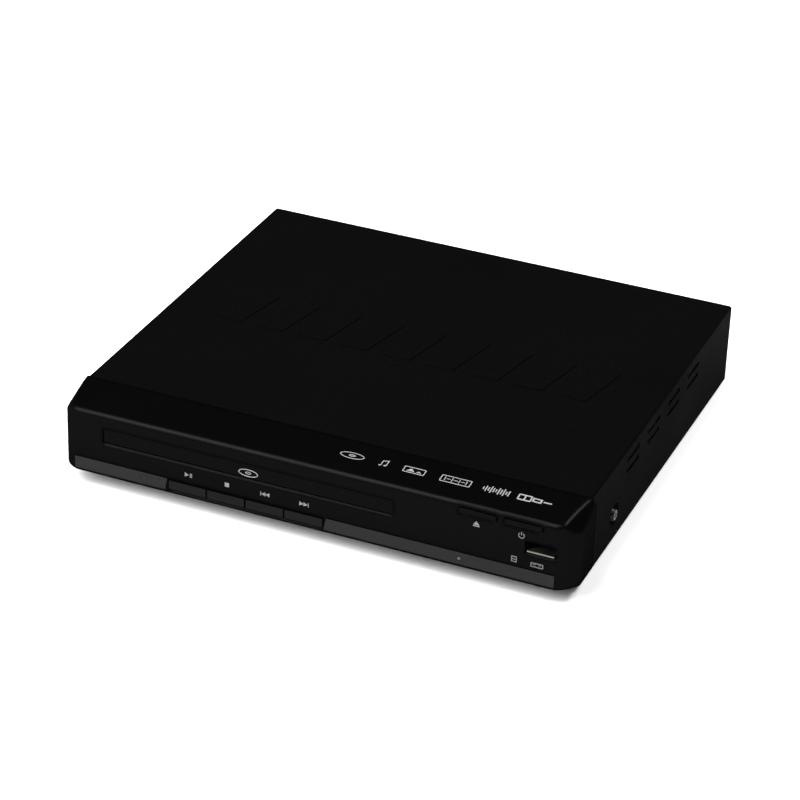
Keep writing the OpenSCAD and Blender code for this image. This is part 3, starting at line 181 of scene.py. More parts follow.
def blend_colours(tree, factor, first, second):
    """A colour between first and second; each is a colour or a socket."""
    node = tree.nodes.new("ShaderNodeMix")
    node.data_type = "RGBA"
    tree.links.new(factor, node.inputs["Factor"])
    for socket, value in ((node.inputs["A"], first), (node.inputs["B"], second)):
        if isinstance(value, bpy.types.NodeSocket):
            tree.links.new(value, socket)
        else:
            socket.default_value = (*value, 1.0)
    return node.outputs["Result"]


def bump(tree, shader, height, distance, strength=1.0):
    """Raises the skin by distance where height is 1."""
    node = tree.nodes.new("ShaderNodeBump")
    node.inputs["Distance"].default_value = distance
    node.inputs["Strength"].default_value = strength
    tree.links.new(height, node.inputs["Height"])
    tree.links.new(node.outputs["Normal"], shader.inputs["Normal"])


def colour_steps(tree, value, stops):
    """Hard-edged colours along value; stops is a list of (position, colour)."""
    node = tree.nodes.new("ShaderNodeValToRGB")
    ramp = node.color_ramp
    ramp.interpolation = "CONSTANT"
    while len(ramp.elements) < len(stops):
        ramp.elements.new(1.0)
    for element, (position, colour) in zip(ramp.elements, stops):
        element.position = position
        element.color = (*colour, 1.0)
    tree.links.new(value, node.inputs["Fac"])
    return node.outputs["Color"]


def shade(colour, factor):
    """The colour made darker or paler by a factor."""
    return tuple(min(1.0, c * factor) for c in colour)


def handled(tree, place, roughness, range_half):
    """A roughness that drifts where hands and cloths have rubbed the surface."""
    rubbed = noise(tree, scaled(tree, place, (1.0, 1.6, 2.2)), 60.0, 5.0, 0.6)
    return spread(tree, rubbed, roughness - range_half, roughness + range_half)


def plastic(name, colour, roughness=0.4, index=1.42, grain=1500.0, relief=0.000012,
            mottle=0.12):
    """Moulded plastic: faint colour drift, uneven polish and a fine moulded grain."""
    material, tree, shader, place = new_material(name)
    drift = spread(tree, noise(tree, place, 35.0), 0.0, 1.0)
    colours = blend_colours(tree, drift, shade(colour, 1 - mottle), shade(colour, 1 + mottle))
    tree.links.new(colours, shader.inputs["Base Color"])
    tree.links.new(handled(tree, place, roughness, 0.06), shader.inputs["Roughness"])
    bump(tree, shader, noise(tree, place, grain, 2.0), relief)
    shader.inputs["IOR"].default_value = index
    return material


def dark_gloss(name, colour, roughness, edge_radius=0.0003):
    """Deep black polish: a matt body below a thin clear layer that reflects evenly at every angle."""
    material = plastic(name, colour, 0.6, index=1.0, grain=700.0, relief=0.0000015, mottle=0.08)
    tree = material.node_tree
    shader = tree.nodes["Principled BSDF"]
    place = tree.nodes["Texture Coordinate"].outputs["Object"]
    shader.inputs["Coat Weight"].default_value = 0.0055
    shader.inputs["Coat IOR"].default_value = 4.0
    tree.links.new(handled(tree, place, roughness, 0.03), shader.inputs["Coat Roughness"])
    edge = tree.nodes.new("ShaderNodeBevel")
    edge.samples = 8
    edge.inputs["Radius"].default_value = edge_radius
    tree.links.new(edge.outputs["Normal"], tree.nodes["Bump"].inputs["Normal"])
    tree.links.new(tree.nodes["Bump"].outputs["Normal"], shader.inputs["Coat Normal"])
    return material


def powder_coat(name, colour, roughness):
    """Textured paint on sheet steel: small rounded bumps, painted paler on their peaks and darker in their
    hollows as painted highlight and painted shade.
    """
    material, tree, shader, place = new_material(name)
    cells = tree.nodes.new("ShaderNodeTexVoronoi")
    cells.feature = "SMOOTH_F1"
    cells.inputs["Scale"].default_value = 1150.0
    tree.links.new(place, cells.inputs["Vector"])
    tops = spread(tree, cells.outputs["Distance"], 1.0, 0.0, 0.1, 0.75)
    wide = spread(tree, noise(tree, place, 18.0, 4.0), 0.0, 1.0)
    # Paler on the bump peaks and darker in the hollows between them: painted highlight and painted shade.
    grain = blend_colours(tree, tops, shade(colour, 0.75), shade(colour, 1.3))
    colours = blend_colours(tree, wide, grain, shade(colour, 0.9))
    tree.links.new(colours, shader.inputs["Base Color"])
    tree.links.new(spread(tree, wide, roughness - 0.04, roughness + 0.05, 0.0, 1.0),
                   shader.inputs["Roughness"])
    bump(tree, shader, tops, 0.00003, 0.6)
    shader.inputs["IOR"].default_value = 1.0175
    return material


def metal(name, colour, roughness=0.3, stretch=(1.0, 14.0, 14.0), scale=140.0):
    """Bare metal with drawn or rolled lines along one axis and faint tarnish."""
    material, tree, shader, place = new_material(name)
    lines = noise(tree, scaled(tree, place, stretch), scale, 4.0, 0.6)
    stains = spread(tree, noise(tree, place, 45.0, 5.0), 0.0, 1.0)
    colours = blend_colours(tree, stains, shade(colour, 0.9), shade(colour, 1.05))
    tree.links.new(colours, shader.inputs["Base Color"])
    tree.links.new(spread(tree, lines, roughness - 0.09, roughness + 0.09), shader.inputs["Roughness"])
    bump(tree, shader, lines, 0.000008)
    shader.inputs["Metallic"].default_value = 1.0
    return material


def galvanised(name, colour):
    """Zinc plate: broad crystals of slightly different grey."""
    material, tree, shader, place = new_material(name)
    crystals = tree.nodes.new("ShaderNodeTexVoronoi")
    crystals.inputs["Scale"].default_value = 190.0
    tree.links.new(scaled(tree, place, (1.0, 1.3, 1.0)), crystals.inputs["Vector"])
    tone = tree.nodes.new("ShaderNodeSeparateColor")
    tree.links.new(crystals.outputs["Color"], tone.inputs["Color"])
    colours = blend_colours(tree, tone.outputs["Red"], shade(colour, 0.86), shade(colour, 1.08))
    tree.links.new(colours, shader.inputs["Base Color"])
    tree.links.new(spread(tree, tone.outputs["Green"], 0.3, 0.46, 0.0, 1.0), shader.inputs["Roughness"])
    bump(tree, shader, noise(tree, place, 900.0, 3.0), 0.000006)
    shader.inputs["Metallic"].default_value = 1.0
    return material


def rubber(name, colour, roughness=0.8):
    """Matt rubber with a fine pitted skin and a dusty bloom."""
    material, tree, shader, place = new_material(name)
    bloom = spread(tree, noise(tree, place, 90.0, 6.0, 0.7), 0.0, 1.0, 0.45, 0.8)
    tree.links.new(blend_colours(tree, bloom, colour, shade(colour, 2.2)), shader.inputs["Base Color"])
    tree.links.new(spread(tree, bloom, roughness - 0.08, roughness + 0.1, 0.0, 1.0),
                   shader.inputs["Roughness"])
    bump(tree, shader, noise(tree, place, 2600.0, 2.0), 0.00002, 0.7)
    shader.inputs["Specular IOR Level"].default_value = 0.25
    return material


def circuit_board(name, mask, track, pitch):
    """Circuit board: tracks under the mask, as thin paler lines that turn at right angles."""
    material, tree, shader, place = new_material(name)
    bricks = tree.nodes.new("ShaderNodeTexBrick")
    bricks.inputs["Scale"].default_value = 1.0 / pitch
    bricks.inputs["Mortar Size"].default_value = 0.09
    bricks.inputs["Mortar Smooth"].default_value = 0.1
    bricks.inputs["Brick Width"].default_value = 2.3
    bricks.inputs["Row Height"].default_value = 0.6
    bricks.inputs["Color1"].default_value = (*mask, 1.0)
    bricks.inputs["Color2"].default_value = (*shade(mask, 0.86), 1.0)
    bricks.inputs["Mortar"].default_value = (*track, 1.0)
    tree.links.new(place, bricks.inputs["Vector"])
    pads = tree.nodes.new("ShaderNodeTexVoronoi")
    pads.inputs["Scale"].default_value = 0.5 / pitch
    tree.links.new(place, pads.inputs["Vector"])
    pad = spread(tree, pads.outputs["Distance"], 1.0, 0.0, 0.1, 0.13)
    solder = (0.5, 0.5, 0.48)
    tree.links.new(blend_colours(tree, pad, bricks.outputs["Color"], solder), shader.inputs["Base Color"])
    tree.links.new(spread(tree, pad, 0.42, 0.28, 0.0, 1.0), shader.inputs["Roughness"])
    bump(tree, shader, bricks.outputs["Fac"], 0.00003, 0.5)
    return material


def banded(name, stops, low, high, axis="X", roughness=0.35, index=1.45, upper=None, level=0.0):
    """Parts of several colours side by side.

    The colour steps along one axis from low to high; above the height level the steps of upper are used.
    """
    material, tree, shader, place = new_material(name)
    parts = tree.nodes.new("ShaderNodeSeparateXYZ")
    tree.links.new(place, parts.inputs["Vector"])
    along = spread(tree, parts.outputs[axis], 0.0, 1.0, low, high)
    drift = spread(tree, noise(tree, place, 240.0), 0.0, 0.25)
    plain = colour_steps(tree, along, stops)
    if upper:
        above = spread(tree, parts.outputs["Z"], 0.0, 1.0, level - 0.001, level + 0.001)
        plain = blend_colours(tree, above, plain, colour_steps(tree, along, upper))
    colours = blend_colours(tree, drift, plain, (0.05, 0.05, 0.05))
    tree.links.new(colours, shader.inputs["Base Color"])
    uneven = noise(tree, place, 700.0)
    tree.links.new(spread(tree, uneven, roughness - 0.08, roughness + 0.08), shader.inputs["Roughness"])
    bump(tree, shader, uneven, 0.00001)
    shader.inputs["IOR"].default_value = index
    return material


def ribbed_film(name, colour, dark, pitch, axis="X"):
    """Film or wire with even lines across it, such as flat cable or tape over windings; the troughs between
    the raised lines are painted darker, as painted shade.
    """
    material, tree, shader, place = new_material(name)
    waves = tree.nodes.new("ShaderNodeTexWave")
    waves.bands_direction = axis
    waves.inputs["Scale"].default_value = 0.314 / pitch
    waves.inputs["Distortion"].default_value = 0.3
    waves.inputs["Detail"].default_value = 1.0
    tree.links.new(place, waves.inputs["Vector"])
    # The troughs of the raised lines take the darker colour: painted shade.
    tree.links.new(blend_colours(tree, waves.outputs["Fac"], dark, colour), shader.inputs["Base Color"])
    tree.links.new(spread(tree, noise(tree, place, 150.0), 0.24, 0.4), shader.inputs["Roughness"])
    bump(tree, shader, waves.outputs["Fac"], 0.00005)
    return material


def ink(name, colour):
    """Printed ink: a little uneven in cover, with a soft sheen."""
    material, tree, shader, place = new_material(name)
    worn = spread(tree, noise(tree, place, 1900.0, 4.0), 0.0, 1.0, 0.35, 0.75)
    tree.links.new(blend_colours(tree, worn, colour, shade(colour, 0.72)), shader.inputs["Base Color"])
    tree.links.new(spread(tree, worn, 0.38, 0.55, 0.0, 1.0), shader.inputs["Roughness"])
    return material


def clear_lens(name, colour, glancing_sheen_colour, roughness=0.05):
    """Small moulded lens with a clear coat; its colour turns paler at glancing angles, which is painted
    sheen.
    """
    material, tree, shader, place = new_material(name)
    facing = tree.nodes.new("ShaderNodeLayerWeight")
    facing.inputs["Blend"].default_value = 0.4
    # Paler colour towards glancing angles: painted sheen.
    tree.links.new(blend_colours(tree, facing.outputs["Facing"], colour, glancing_sheen_colour),
                   shader.inputs["Base Color"])
    tree.links.new(spread(tree, noise(tree, place, 800.0), roughness, roughness + 0.06),
                   shader.inputs["Roughness"])
    shader.inputs["Coat Weight"].default_value = 0.6
    return material


# ---------------------------------------------------------------- pieces

def dress(material, *nodes):
    """Gives solids a finish."""
    for node in nodes:
        mesh = NODES[node].data
        mesh.materials.clear()
        mesh.materials.append(material)


def soften(width, *nodes):
    """A small round on the sharp edges of solids, whose faces are joined first."""
    for node in nodes:
        weld = NODES[node].modifiers.new("Joined faces", "WELD")
        weld.merge_threshold = JOIN_DISTANCE
        bevel = NODES[node].modifiers.new("Edge round", "BEVEL")
        bevel.width = width
        bevel.segments = 2
        bevel.limit_method = "ANGLE"
        bevel.angle_limit = math.radians(38)
        bevel.use_clamp_overlap = True
        bevel.harden_normals = True


def surface_of(node):
    """A lookup of the nearest point on a solid's skin."""
    mesh = NODES[node].data
    corners = [vertex.co.copy() for vertex in mesh.vertices]
    return BVHTree.FromPolygons(corners, [tuple(face.vertices) for face in mesh.polygons])


def ring(cx, cy, radius, count=28, start=0.0, end=360.0):
    """Points round a circle; a full turn leaves out the repeated last point."""
    gaps = count if end - start == 360.0 else count - 1
    angles = [math.radians(start + (end - start) * i / gaps) for i in range(count)]
    return [(cx + radius * math.cos(angle), cy + radius * math.sin(angle)) for angle in angles]


def box_path(x0, y0, x1, y1):
    """The four corners of a rectangle."""
    return [(x0, y0), (x1, y0), (x1, y1), (x0, y1)]


def rounded_box(x0, y0, x1, y1, r):
    """A rectangle with round corners."""
    centres = ((x1 - r, y1 - r), (x0 + r, y1 - r), (x0 + r, y0 + r), (x1 - r, y0 + r))
    points = []
    for quarter, (cx, cy) in enumerate(centres):
        points += ring(cx, cy, r, 5, quarter * 90, quarter * 90 + 90)
    return points


def arc_band(outer, inner, start, end):
    """Part of a ring round the middle as one closed outline."""
    return ring(0.0, 0.0, outer, 24, start, end) + ring(0.0, 0.0, inner, 24, start, end)[::-1]


def oval_band(rx, ry, line):
    """An oval ring with its outer half sizes, as two outlines."""
    return [[(x * (rx - inset), y * (ry - inset)) for x, y in ring(0.0, 0.0, 1.0, 36)]
            for inset in (0.0, line)]


def frame_band(half_x, half_y, line):
    """A rectangular frame round the middle, as two outlines."""
    corner = 0.5
    return [rounded_box(inset - half_x, inset - half_y, half_x - inset, half_y - inset, corner - inset)
            for inset in (0.0, line)]


def material_named(name):
    """A finish that an earlier operator made."""
    material = bpy.data.materials.get(name)
    if material is None:
        raise RuntimeError("The finish " + name + " isn't made yet")
    return material


def on_front(x, rise):
    """A place on the front, from millimetres along it and over its lower edge."""
    return (x * MM, FRONT_Y * MM, (LOWER_EDGE + rise) * MM)


def print_mark(name, outlines, plane, origin, carrier, finish, settings):
    """A thin printed layer on a solid.

    The outlines are in millimetres in the plane, given by its directions across and up, round origin.
    An outline inside another is a hole. Each corner is set on the carrier's skin.
    """
    curve = bpy.data.curves.new(name, "CURVE")
    curve.dimensions = "2D"
    curve.fill_mode = "BOTH"
    curve.extrude = 0.5
    for outline in outlines:
        spline = curve.splines.new("POLY")
        spline.points.add(len(outline) - 1)
        for point, (x, y) in zip(spline.points, outline):
            point.co = (x, y, 0.0, 1.0)
        spline.use_cyclic_u = True
    source = bpy.data.objects.new(name + "_outline", curve)
    bpy.context.scene.collection.objects.link(source)
    bpy.context.view_layer.update()
    evaluated = source.evaluated_get(bpy.context.evaluated_depsgraph_get())
    mesh = bpy.data.meshes.new_from_object(evaluated)
    bpy.data.objects.remove(source)
    (across, up), origin = (Vector(direction) for direction in plane), Vector(origin)
    skin = surface_of(carrier)
    outward = across.cross(up).normalized()
    for vertex in mesh.vertices:
        flat = origin + (across * vertex.co.x + up * vertex.co.y) * MM
        hit, normal, _, _ = skin.ray_cast(flat + outward * PROBE_START, -outward, PROBE_LENGTH)
        if hit is None:
            raise RuntimeError(name + " doesn't meet " + carrier)
        top = settings.print_lift + (settings.print_depth if vertex.co.z > 0 else 0.0)
        vertex.co = hit + normal * top
    mesh.update()
    bm = bmesh.new()
    bm.from_mesh(mesh)
    bmesh.ops.remove_doubles(bm, verts=bm.verts, dist=JOIN_DISTANCE)
    bmesh.ops.recalc_face_normals(bm, faces=bm.faces)
    bm.to_mesh(mesh)
    bm.free()
    mesh.name = name
    mesh.materials.clear()
    mesh.materials.append(material_named(finish))
    piece = bpy.data.objects.new(name, mesh)
    bpy.context.scene.collection.objects.link(piece)
    return piece


# ---------------------------------------------------------------- operators

class PLAYER_OT_front_mouldings(bpy.types.Operator):
    """Finish the front, the tray's door, the trim strips and the keys"""
    bl_idname = "player.front_mouldings"
    bl_label = "Front mouldings"

    def execute(self, context):
        finish = context.scene.player_finish
        black, polish = tuple(finish.gloss_colour), finish.gloss_roughness
        dress(dark_gloss("front_gloss", black, polish, edge_radius=0.0031), "front_bezel")
        dress(dark_gloss("door_gloss", black, polish), "tray_door")
        dress(plastic("strip_satin", tuple(finish.strip_colour), 0.36, index=1.15, grain=2400.0,
                      relief=0.000006, mottle=0.06), "trim_left", "trim_right")
        dress(plastic("play_key_gloss", tuple(finish.key_colour), 0.22, index=1.15, grain=900.0,
                      relief=0.000002), "play_key", "stop_key", "previous_key", "next_key")
        dress(dark_gloss("bar_key_gloss", shade(black, 1.5), polish + 0.05), "eject_key", "power_key")
        dress(plastic("infrared_tint", (0.011, 0.0108, 0.0107), 0.3, index=1.15, relief=0.0000015),
              "ir_receiver")
        # The lens's second colour is painted sheen at glancing angles.
        dress(clear_lens("status_lens", (0.018, 0.018, 0.0155), (0.03, 0.03, 0.027), 0.35), "status_led")
        return {"FINISHED"}


class PLAYER_OT_sheet_metal(bpy.types.Operator):
    """Finish the cover, the chassis, the rear panel, their screws and the feet"""
    bl_idname = "player.sheet_metal"
    bl_label = "Case and screws"

    def execute(self, context):
        finish = context.scene.player_finish
        paint = powder_coat("cover_paint", tuple(finish.cover_colour), finish.cover_roughness)
        dress(paint, "top_cover", "rear_panel")
        dress(galvanised("zinc_plate", (0.34, 0.347, 0.354)), "chassis_pan")
        dress(metal("screw_nickel", (0.58, 0.58, 0.6), 0.28, EVEN, 300.0), "rear_screws", "loader_screws",
              "board_screws")
        dress(metal("screw_blackened", (0.014, 0.014, 0.015), 0.4, EVEN, 300.0), "cover_side_screws")
        dress(rubber("foot_rubber", (0.014, 0.014, 0.014)), "rubber_feet")
        return {"FINISHED"}


class PLAYER_OT_disc_loader(bpy.types.Operator):
    """Finish the tray, the loader's frame, its gears, pulleys, belt and motor"""
    bl_idname = "player.disc_loader"
    bl_label = "Disc loader"

    def execute(self, context):
        dress(plastic("tray_plastic", (0.012, 0.0125, 0.0135), 0.48, index=1.4, grain=1900.0,
                      relief=0.00002), "disc_tray")
        dress(plastic("loader_plastic", (0.02, 0.021, 0.023), 0.5, relief=0.00002), "loader_frame")
        dress(plastic("bridge_plastic", (0.06, 0.062, 0.068), 0.5, relief=0.00002), "clamp_bridge")
        acetal = plastic("white_acetal", (0.4, 0.395, 0.37), 0.38, index=1.45, relief=0.000008, mottle=0.04)
        skin = acetal.node_tree.nodes["Principled BSDF"]
        skin.inputs["Subsurface Weight"].default_value = 0.08
        skin.inputs["Subsurface Scale"].default_value = 0.001
        dress(acetal, "tray_gear", "pulley_gear", "motor_pulley", "clamper", "cam_slider", "turntable",
              "sled_gear", "sled_motor_gear")
        dress(rubber("belt_rubber", (0.012, 0.012, 0.012), 0.7), "loading_belt", "turntable_pad",
              "traverse_dampers")
        dress(metal("motor_can", (0.5, 0.51, 0.53), 0.27, (14.0, 14.0, 1.0)), "loading_motor",
              "spindle_motor", "sled_motor")
        return {"FINISHED"}


class PLAYER_OT_disc_drive(bpy.types.Operator):
    """Finish the drive below the disc"""
    bl_idname = "player.disc_drive"
    bl_label = "Disc drive"

    def execute(self, context):
        dress(plastic("holder_plastic", (0.022, 0.023, 0.025), 0.5, relief=0.00002), "traverse_holder")
        dress(galvanised("drive_plate", (0.32, 0.327, 0.34)), "traverse_plate")
        dress(metal("ground_rod", (0.7, 0.71, 0.72), 0.16), "guide_rods")
        dress(plastic("sled_plastic", (0.07, 0.072, 0.08), 0.42, relief=0.000015), "pickup_sled")
        # The paler purple at glancing angles is painted reflection of the coating.
        dress(clear_lens("lens_coating", (0.12, 0.16, 0.42), (0.4, 0.25, 0.6)), "objective_lens")
        return {"FINISHED"}


class PLAYER_OT_circuit_boards(bpy.types.Operator):
    """Finish the boards, their parts and the wiring"""
    bl_idname = "player.circuit_boards"
    bl_label = "Circuit boards"

    def execute(self, context):
        dress(circuit_board("green_board", (0.012, 0.085, 0.035), (0.03, 0.16, 0.07), 0.004),
              "main_board", "front_board", "av_board")
        dress(circuit_board("tan_board", (0.2, 0.13, 0.055), (0.15, 0.09, 0.036), 0.007), "power_board")
        dress(plastic("chip_epoxy", (0.018, 0.018, 0.02), 0.45, relief=0.00001), "main_board_parts",
              "tact_switches")
        # The tape's second, darker yellow is painted shade in the troughs of its lines.
        dress(ribbed_film("transformer_tape", (0.36, 0.26, 0.035), (0.26, 0.18, 0.022), 0.002, "Z"),
              "transformer")
        dress(plastic("capacitor_sleeve", (0.012, 0.022, 0.06), 0.25, index=1.48, relief=0.000006),
              "power_parts")
        dress(metal("sink_aluminium", (0.68, 0.69, 0.7), 0.36, (12.0, 12.0, 1.0)), "heatsink")
        # The cable's second, darker grey is painted shade in the troughs between its wires.
        dress(ribbed_film("flat_cable", (0.4, 0.4, 0.39), (0.26, 0.26, 0.26), 0.001), "front_ribbon")
        wires = [(0.0, (0.16, 0.012, 0.01)), (0.34, (0.012, 0.012, 0.012)), (0.6, (0.3, 0.25, 0.03))]
        dress(banded("supply_wires", wires, 0.0646, 0.074), "power_harness")
        return {"FINISHED"}


class PLAYER_OT_sockets(bpy.types.Operator):
    """Finish the port on the front and the sockets on the back"""
    bl_idname = "player.sockets"
    bl_label = "Sockets"

    def execute(self, context):
        # The port's shell is near black: painted shade inside the port.
        dress(metal("port_shell_painted_shade", (0.005, 0.005, 0.0052), 0.5), "usb_socket")
        dress(metal("jack_nickel", (0.68, 0.68, 0.7), 0.2, EVEN, 300.0), "av_jack_barrels")
        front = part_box("usb_tongue")[0][1]
        # The tongue is cream only along its front edge and near black behind it: the near black is painted
        # shade inside the port.
        tongue = [(0.0, (0.13, 0.12, 0.1)), (0.3, (0.002, 0.002, 0.0025))]
        dress(banded("port_tongue_painted_shade", tongue, front, front + 0.5 * MM, "Y", 0.6, 1.05), "usb_tongue")
        dress(plastic("socket_black", (0.014, 0.014, 0.016), 0.42, relief=0.00002), "mains_inlet",
              "av_jack_block")
        yellow, white, orange = (0.6, 0.42, 0.02), (0.65, 0.65, 0.63), (0.6, 0.16, 0.01)
        green, blue, red = (0.01, 0.2, 0.05), (0.01, 0.05, 0.4), (0.5, 0.015, 0.012)
        low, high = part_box("av_jack_inserts")
        dress(banded("jack_rings", [(0.0, yellow), (0.2, white), (0.46, red), (0.76, orange)], low[0],
                     high[0], upper=[(0.0, green), (0.2, blue), (0.46, red)], level=(low[2] + high[2]) / 2),
              "av_jack_inserts")
        return {"FINISHED"}


class PLAYER_OT_edge_rounds(bpy.types.Operator):
    """Round the sharp edges that show"""
    bl_idname = "player.edge_rounds"
    bl_label = "Edge rounds"

    def execute(self, context):
        soften(0.12 * MM, "play_key", "stop_key", "previous_key", "next_key", "eject_key", "power_key",
               "trim_left", "trim_right", "tray_door")
        soften(0.2 * MM, "top_cover", "disc_tray", "rear_panel", "clamp_bridge", "loader_frame",
               "mains_inlet")
        return {"FINISHED"}


def play_marks(height):
    """The marks over the four play keys, each with its name, its place along the front and its outlines."""
    half = height / 2
    bar = half * 0.34

    def arrow(dx, sign=1.0):
        return [(x * sign + dx, y) for x, y in ((-half, -half), (half * 0.9, 0.0), (-half, half))]

    def upright(x):
        return box_path(x, -half, x + bar, half)

    return [
        ("play_mark", -52.7, [arrow(-half * 0.9), upright(half * 0.5), upright(half * 1.15)]),
        ("stop_mark", -35.7, [box_path(-half, -half, half, half)]),
        ("previous_mark", -18.9, [upright(-half * 2.1), arrow(-half * 0.75, -1.0), arrow(half * 1.15, -1.0)]),
        ("next_mark", -1.7, [arrow(-half * 1.15), arrow(half * 0.75), upright(half * 2.1 - bar)]),
    ]


def side_marks():
    """The marks by the bars and the port: name, place along and up the front, finish and outlines."""
    eject = [[(-1.35, -0.55), (1.35, -0.55), (0.0, 1.15)], box_path(-1.35, -1.25, 1.35, -0.85)]
    power = [arc_band(1.35, 1.0, 125, 415), box_path(-0.18, 0.1, 0.18, 1.6)]
    port = [rounded_box(-2.6, -1.0, 2.6, 1.0, 0.3), box_path(-2.2, -0.6, 2.2, 0.6),
            box_path(-1.5, 0.05, -0.6, 0.35), box_path(0.6, 0.05, 1.5, 0.35)]
    card = [box_path(-1.15, -1.3, 1.15, 1.3), box_path(-0.8, -0.95, 0.8, -0.2),
            box_path(-0.8, 0.15, 0.8, 0.95)]
    return [("eject_mark", 71.4, 21.2, "key_mark_ink", eject),
            ("power_mark", 90.1, 21.0, "faint_mark_ink", power),
            ("port_mark", 97.1, 9.2, "faint_mark_ink", port),
            ("card_mark", 87.6, 9.7, "faint_mark_ink", card)]


class PLAYER_OT_front_marks(bpy.types.Operator):
    """Print the marks beside the keys and the port"""
    bl_idname = "player.front_marks"
    bl_label = "Front marks"

    def execute(self, context):
        settings = context.scene.player_marks
        colour = tuple(context.scene.player_finish.mark_colour)
        ink("mark_ink", colour)
        ink("key_mark_ink", shade(colour, 0.68))
        ink("faint_mark_ink", shade(colour, 0.42))
        marks = [(name, x, KEY_MARK_RISE, "key_mark_ink", outlines)
                 for name, x, outlines in play_marks(settings.key_mark_size / MM)]
        for name, x, rise, finish, outlines in marks + side_marks():
            piece = print_mark(name, outlines, UPRIGHT, on_front(x, rise), "front_bezel", finish, settings)
            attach(piece, "case")
        return {"FINISHED"}


class PLAYER_OT_door_mark(bpy.types.Operator):
    """Print the disc mark on the tray's door"""
    bl_idname = "player.door_mark"
    bl_label = "Door mark"

    def execute(self, context):
        settings = context.scene.player_marks
        outlines = oval_band(4.3, 1.7, 0.36) + oval_band(1.3, 0.6, 0.3)
        piece = print_mark("disc_mark", outlines, UPRIGHT, on_front(-26.6, 17.9), "tray_door", "mark_ink",
                           settings)
        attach(piece, "tray")
        return {"FINISHED"}


def slope_marks():
    """The outlines on the sloping top: a disc, a note, a picture, a film strip, a sound wave and a plug."""
    line = 0.4
    disc = oval_band(5.2, 2.0, line) + oval_band(1.5, 0.65, line)
    note = [[(-1.2, -2.0), (-0.2, -1.7), (-0.2, 1.2), (1.6, 1.7), (1.6, -0.9), (0.9, -1.1), (0.8, -1.6),
             (1.3, -1.8), (2.0, -1.4), (2.0, 2.3), (-0.6, 1.6), (-0.6, -1.2), (-1.4, -1.3)]]
    picture = frame_band(4.6, 1.9, line)
    picture += [[(-3.2, -0.9), (0.4, -0.9), (-1.4, 0.9)], [(0.9, -0.9), (3.2, -0.9), (2.1, 0.1)]]
    film = frame_band(6.4, 2.1, line)
    film += [box_path(x - 0.17, -1.2, x + 0.17, 1.2) for x in (-4.5, -1.5, 1.5, 4.5)]
    film += [box_path(x - 0.9, -0.15, x + 0.9, 0.15) for x in (-3.0, 0.0, 3.0)]
    heights = (0.8, 1.7, 1.1, 2.1, 1.4, 0.9, 2.1, 1.5, 2.1, 1.0, 1.7)
    sound = [box_path(-5.4 + i * 1.05, -h, -4.9 + i * 1.05, h) for i, h in enumerate(heights)]
    plug = [rounded_box(-7.0, -1.9, -1.2, 1.9, 0.6), rounded_box(-6.4, -1.2, -4.4, 1.2, 0.3),
            rounded_box(-3.8, -1.2, -1.8, 1.2, 0.3), box_path(-0.9, -1.3, 3.0, 1.3),
            box_path(-0.2, -0.6, 2.3, 0.6), box_path(3.6, -0.35, 7.0, 0.35)]
    return [("disc_type_mark", 13.4, disc), ("music_mark", 26.6, note), ("picture_mark", 40.0, picture),
            ("film_mark", 57.5, film), ("sound_mark", 74.4, sound), ("port_type_mark", 90.5, plug)]


class PLAYER_OT_slope_marks(bpy.types.Operator):
    """Print the row of small marks on the sloping top of the front"""
    bl_idname = "player.slope_marks"
    bl_label = "Slope marks"

    def execute(self, context):
        settings = context.scene.player_marks
        size = settings.slope_mark_size / (SLOPE_MARK_DRAWN * MM)
        for name, x, outlines in slope_marks():
            grown = [[(px * size, py * size) for px, py in outline] for outline in outlines]
            place = (x * MM, (FRONT_Y + SLOPE_MARK_BACK) * MM, SLOPE_TOP * MM)
            piece = print_mark(name, grown, LEVEL, place, "front_bezel", "mark_ink", settings)
            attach(piece, "case")
        return {"FINISHED"}


def soft_box(name, place, width, height, power):
    """A rectangular area light aimed at the middle of the player."""
    light = bpy.data.lights.new(name, "AREA")
    light.shape = "RECTANGLE"
    light.size = width
    light.size_y = height
    light.energy = power
    lamp = bpy.data.objects.new(name, light)
    bpy.context.scene.collection.objects.link(lamp)
    lamp.location = place
    lamp.rotation_euler = (Vector((0.0, 0.0, 0.02)) - Vector(place)).to_track_quat("-Z", "Y").to_euler()


# Where the camera stands, and how far it is turned from the front, raised over the floor and rolled.
CAMERA_PLACE = (0.401783, -1.002618, 0.614016)
CAMERA_ANGLES = (22.09, 29.11, 2.14)


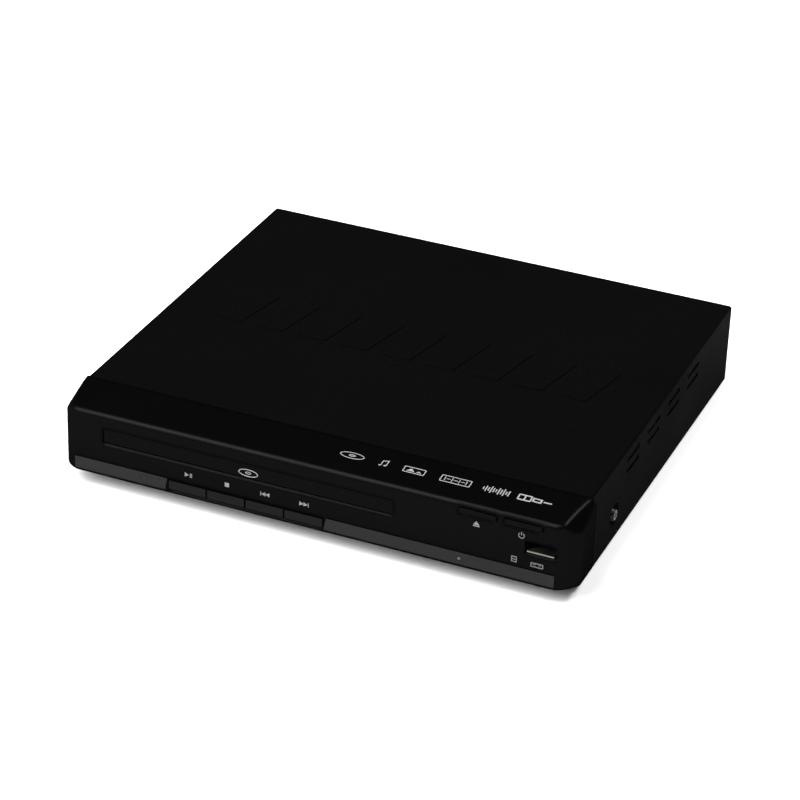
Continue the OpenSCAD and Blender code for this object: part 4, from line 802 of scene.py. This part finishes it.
class PLAYER_OT_stage(bpy.types.Operator):
    """Set the floor, the lights and the camera"""
    bl_idname = "player.stage"
    bl_label = "Stage"

    def execute(self, context):
        stage = context.scene.player_stage
        half = stage.floor_size / 2
        mesh = bpy.data.meshes.new("floor")
        mesh.from_pydata([(x, y, 0.0) for x, y in box_path(-half, -half, half, half)], [], [(0, 1, 2, 3)])
        floor = bpy.data.objects.new("floor", mesh)
        context.scene.collection.objects.link(floor)
        material, tree, shader, place = new_material("floor_paper")
        tone = spread(tree, noise(tree, place, 3.0), 0.0, 1.0)
        colour = tuple(stage.floor_colour)
        tree.links.new(blend_colours(tree, tone, colour, shade(colour, 0.99)), shader.inputs["Base Color"])
        shader.inputs["Roughness"].default_value = 0.9
        shader.inputs["Specular IOR Level"].default_value = 0.1
        mesh.materials.append(material)

        power = stage.light_power
        soft_box("left_panel", (-2.2, 0.1, 1.7), 1.8, 1.8, 10.0 * power)
        soft_box("right_high", (1.13, -0.32, 1.62), 0.5, 0.5, 8.0 * power)
        soft_box("front_high", (-0.8, -1.15, 1.75), 0.75, 2.7, 143.0 * power)
        soft_box("right_back", (0.86, 1.03, 1.6), 0.8, 0.4, 42.0 * power)

        world = bpy.data.worlds.new("surroundings")
        world.use_nodes = True
        sky = world.node_tree.nodes["Background"]
        sky.inputs["Color"].default_value = (0.5, 0.5, 0.5, 1.0)
        sky.inputs["Strength"].default_value = 0.44
        context.scene.world = world
        context.scene.view_settings.view_transform = "Standard"

        turn, tilt, roll = (math.radians(angle) for angle in CAMERA_ANGLES)
        back = Vector((math.sin(turn) * math.cos(tilt), -math.cos(turn) * math.cos(tilt), math.sin(tilt)))
        level = Vector((0, 0, 1)).cross(back).normalized()
        steep = back.cross(level)
        right = level * math.cos(roll) + steep * math.sin(roll)
        up = steep * math.cos(roll) - level * math.sin(roll)
        camera = bpy.data.cameras.new("camera")
        camera.sensor_width = 36.0
        camera.lens = stage.focal_length
        camera.clip_end = 50.0
        viewer = bpy.data.objects.new("camera", camera)
        context.scene.collection.objects.link(viewer)
        turned = Matrix((right, up, back)).transposed().to_4x4()
        viewer.matrix_world = Matrix.Translation(CAMERA_PLACE) @ turned
        context.scene.camera = viewer
        return {"FINISHED"}


STEPS = (
    PLAYER_OT_front_mouldings,
    PLAYER_OT_sheet_metal,
    PLAYER_OT_disc_loader,
    PLAYER_OT_disc_drive,
    PLAYER_OT_circuit_boards,
    PLAYER_OT_sockets,
    PLAYER_OT_edge_rounds,
    PLAYER_OT_front_marks,
    PLAYER_OT_door_mark,
    PLAYER_OT_slope_marks,
    PLAYER_OT_stage,
)


class PLAYER_PT_panel(bpy.types.Panel):
    """Buttons and values of the disc player"""
    bl_idname = "PLAYER_PT_panel"
    bl_label = "Disc player"
    bl_space_type = "VIEW_3D"
    bl_region_type = "UI"
    bl_category = "Disc player"

    def draw(self, context):
        layout = self.layout
        for group in (context.scene.player_finish, context.scene.player_marks, context.scene.player_stage):
            column = layout.column(align=True)
            for name in group.__annotations__:
                column.prop(group, name)
        for step in STEPS:
            layout.operator(step.bl_idname)


GROUPS = {"player_finish": PlayerFinish, "player_marks": PlayerMarks, "player_stage": PlayerStage}
CLASSES = (*GROUPS.values(), *STEPS, PLAYER_PT_panel)


def register():
    """Registers the classes and the settings."""
    for cls in CLASSES:
        bpy.utils.register_class(cls)
    for name, group in GROUPS.items():
        setattr(bpy.types.Scene, name, bpy.props.PointerProperty(type=group))


def unregister():
    """Takes the classes and the settings away again."""
    for name in GROUPS:
        delattr(bpy.types.Scene, name)
    for cls in reversed(CLASSES):
        bpy.utils.unregister_class(cls)


def run_step(step):
    """Runs one operator by its name."""
    group, name = step.bl_idname.split(".")
    if getattr(getattr(bpy.ops, group), name)() != {"FINISHED"}:
        raise RuntimeError(step.bl_label + " didn't finish")


def main():
    """Runs every operator in order."""
    register()
    for step in STEPS:
        run_step(step)


if __name__ == "__main__":
    main()
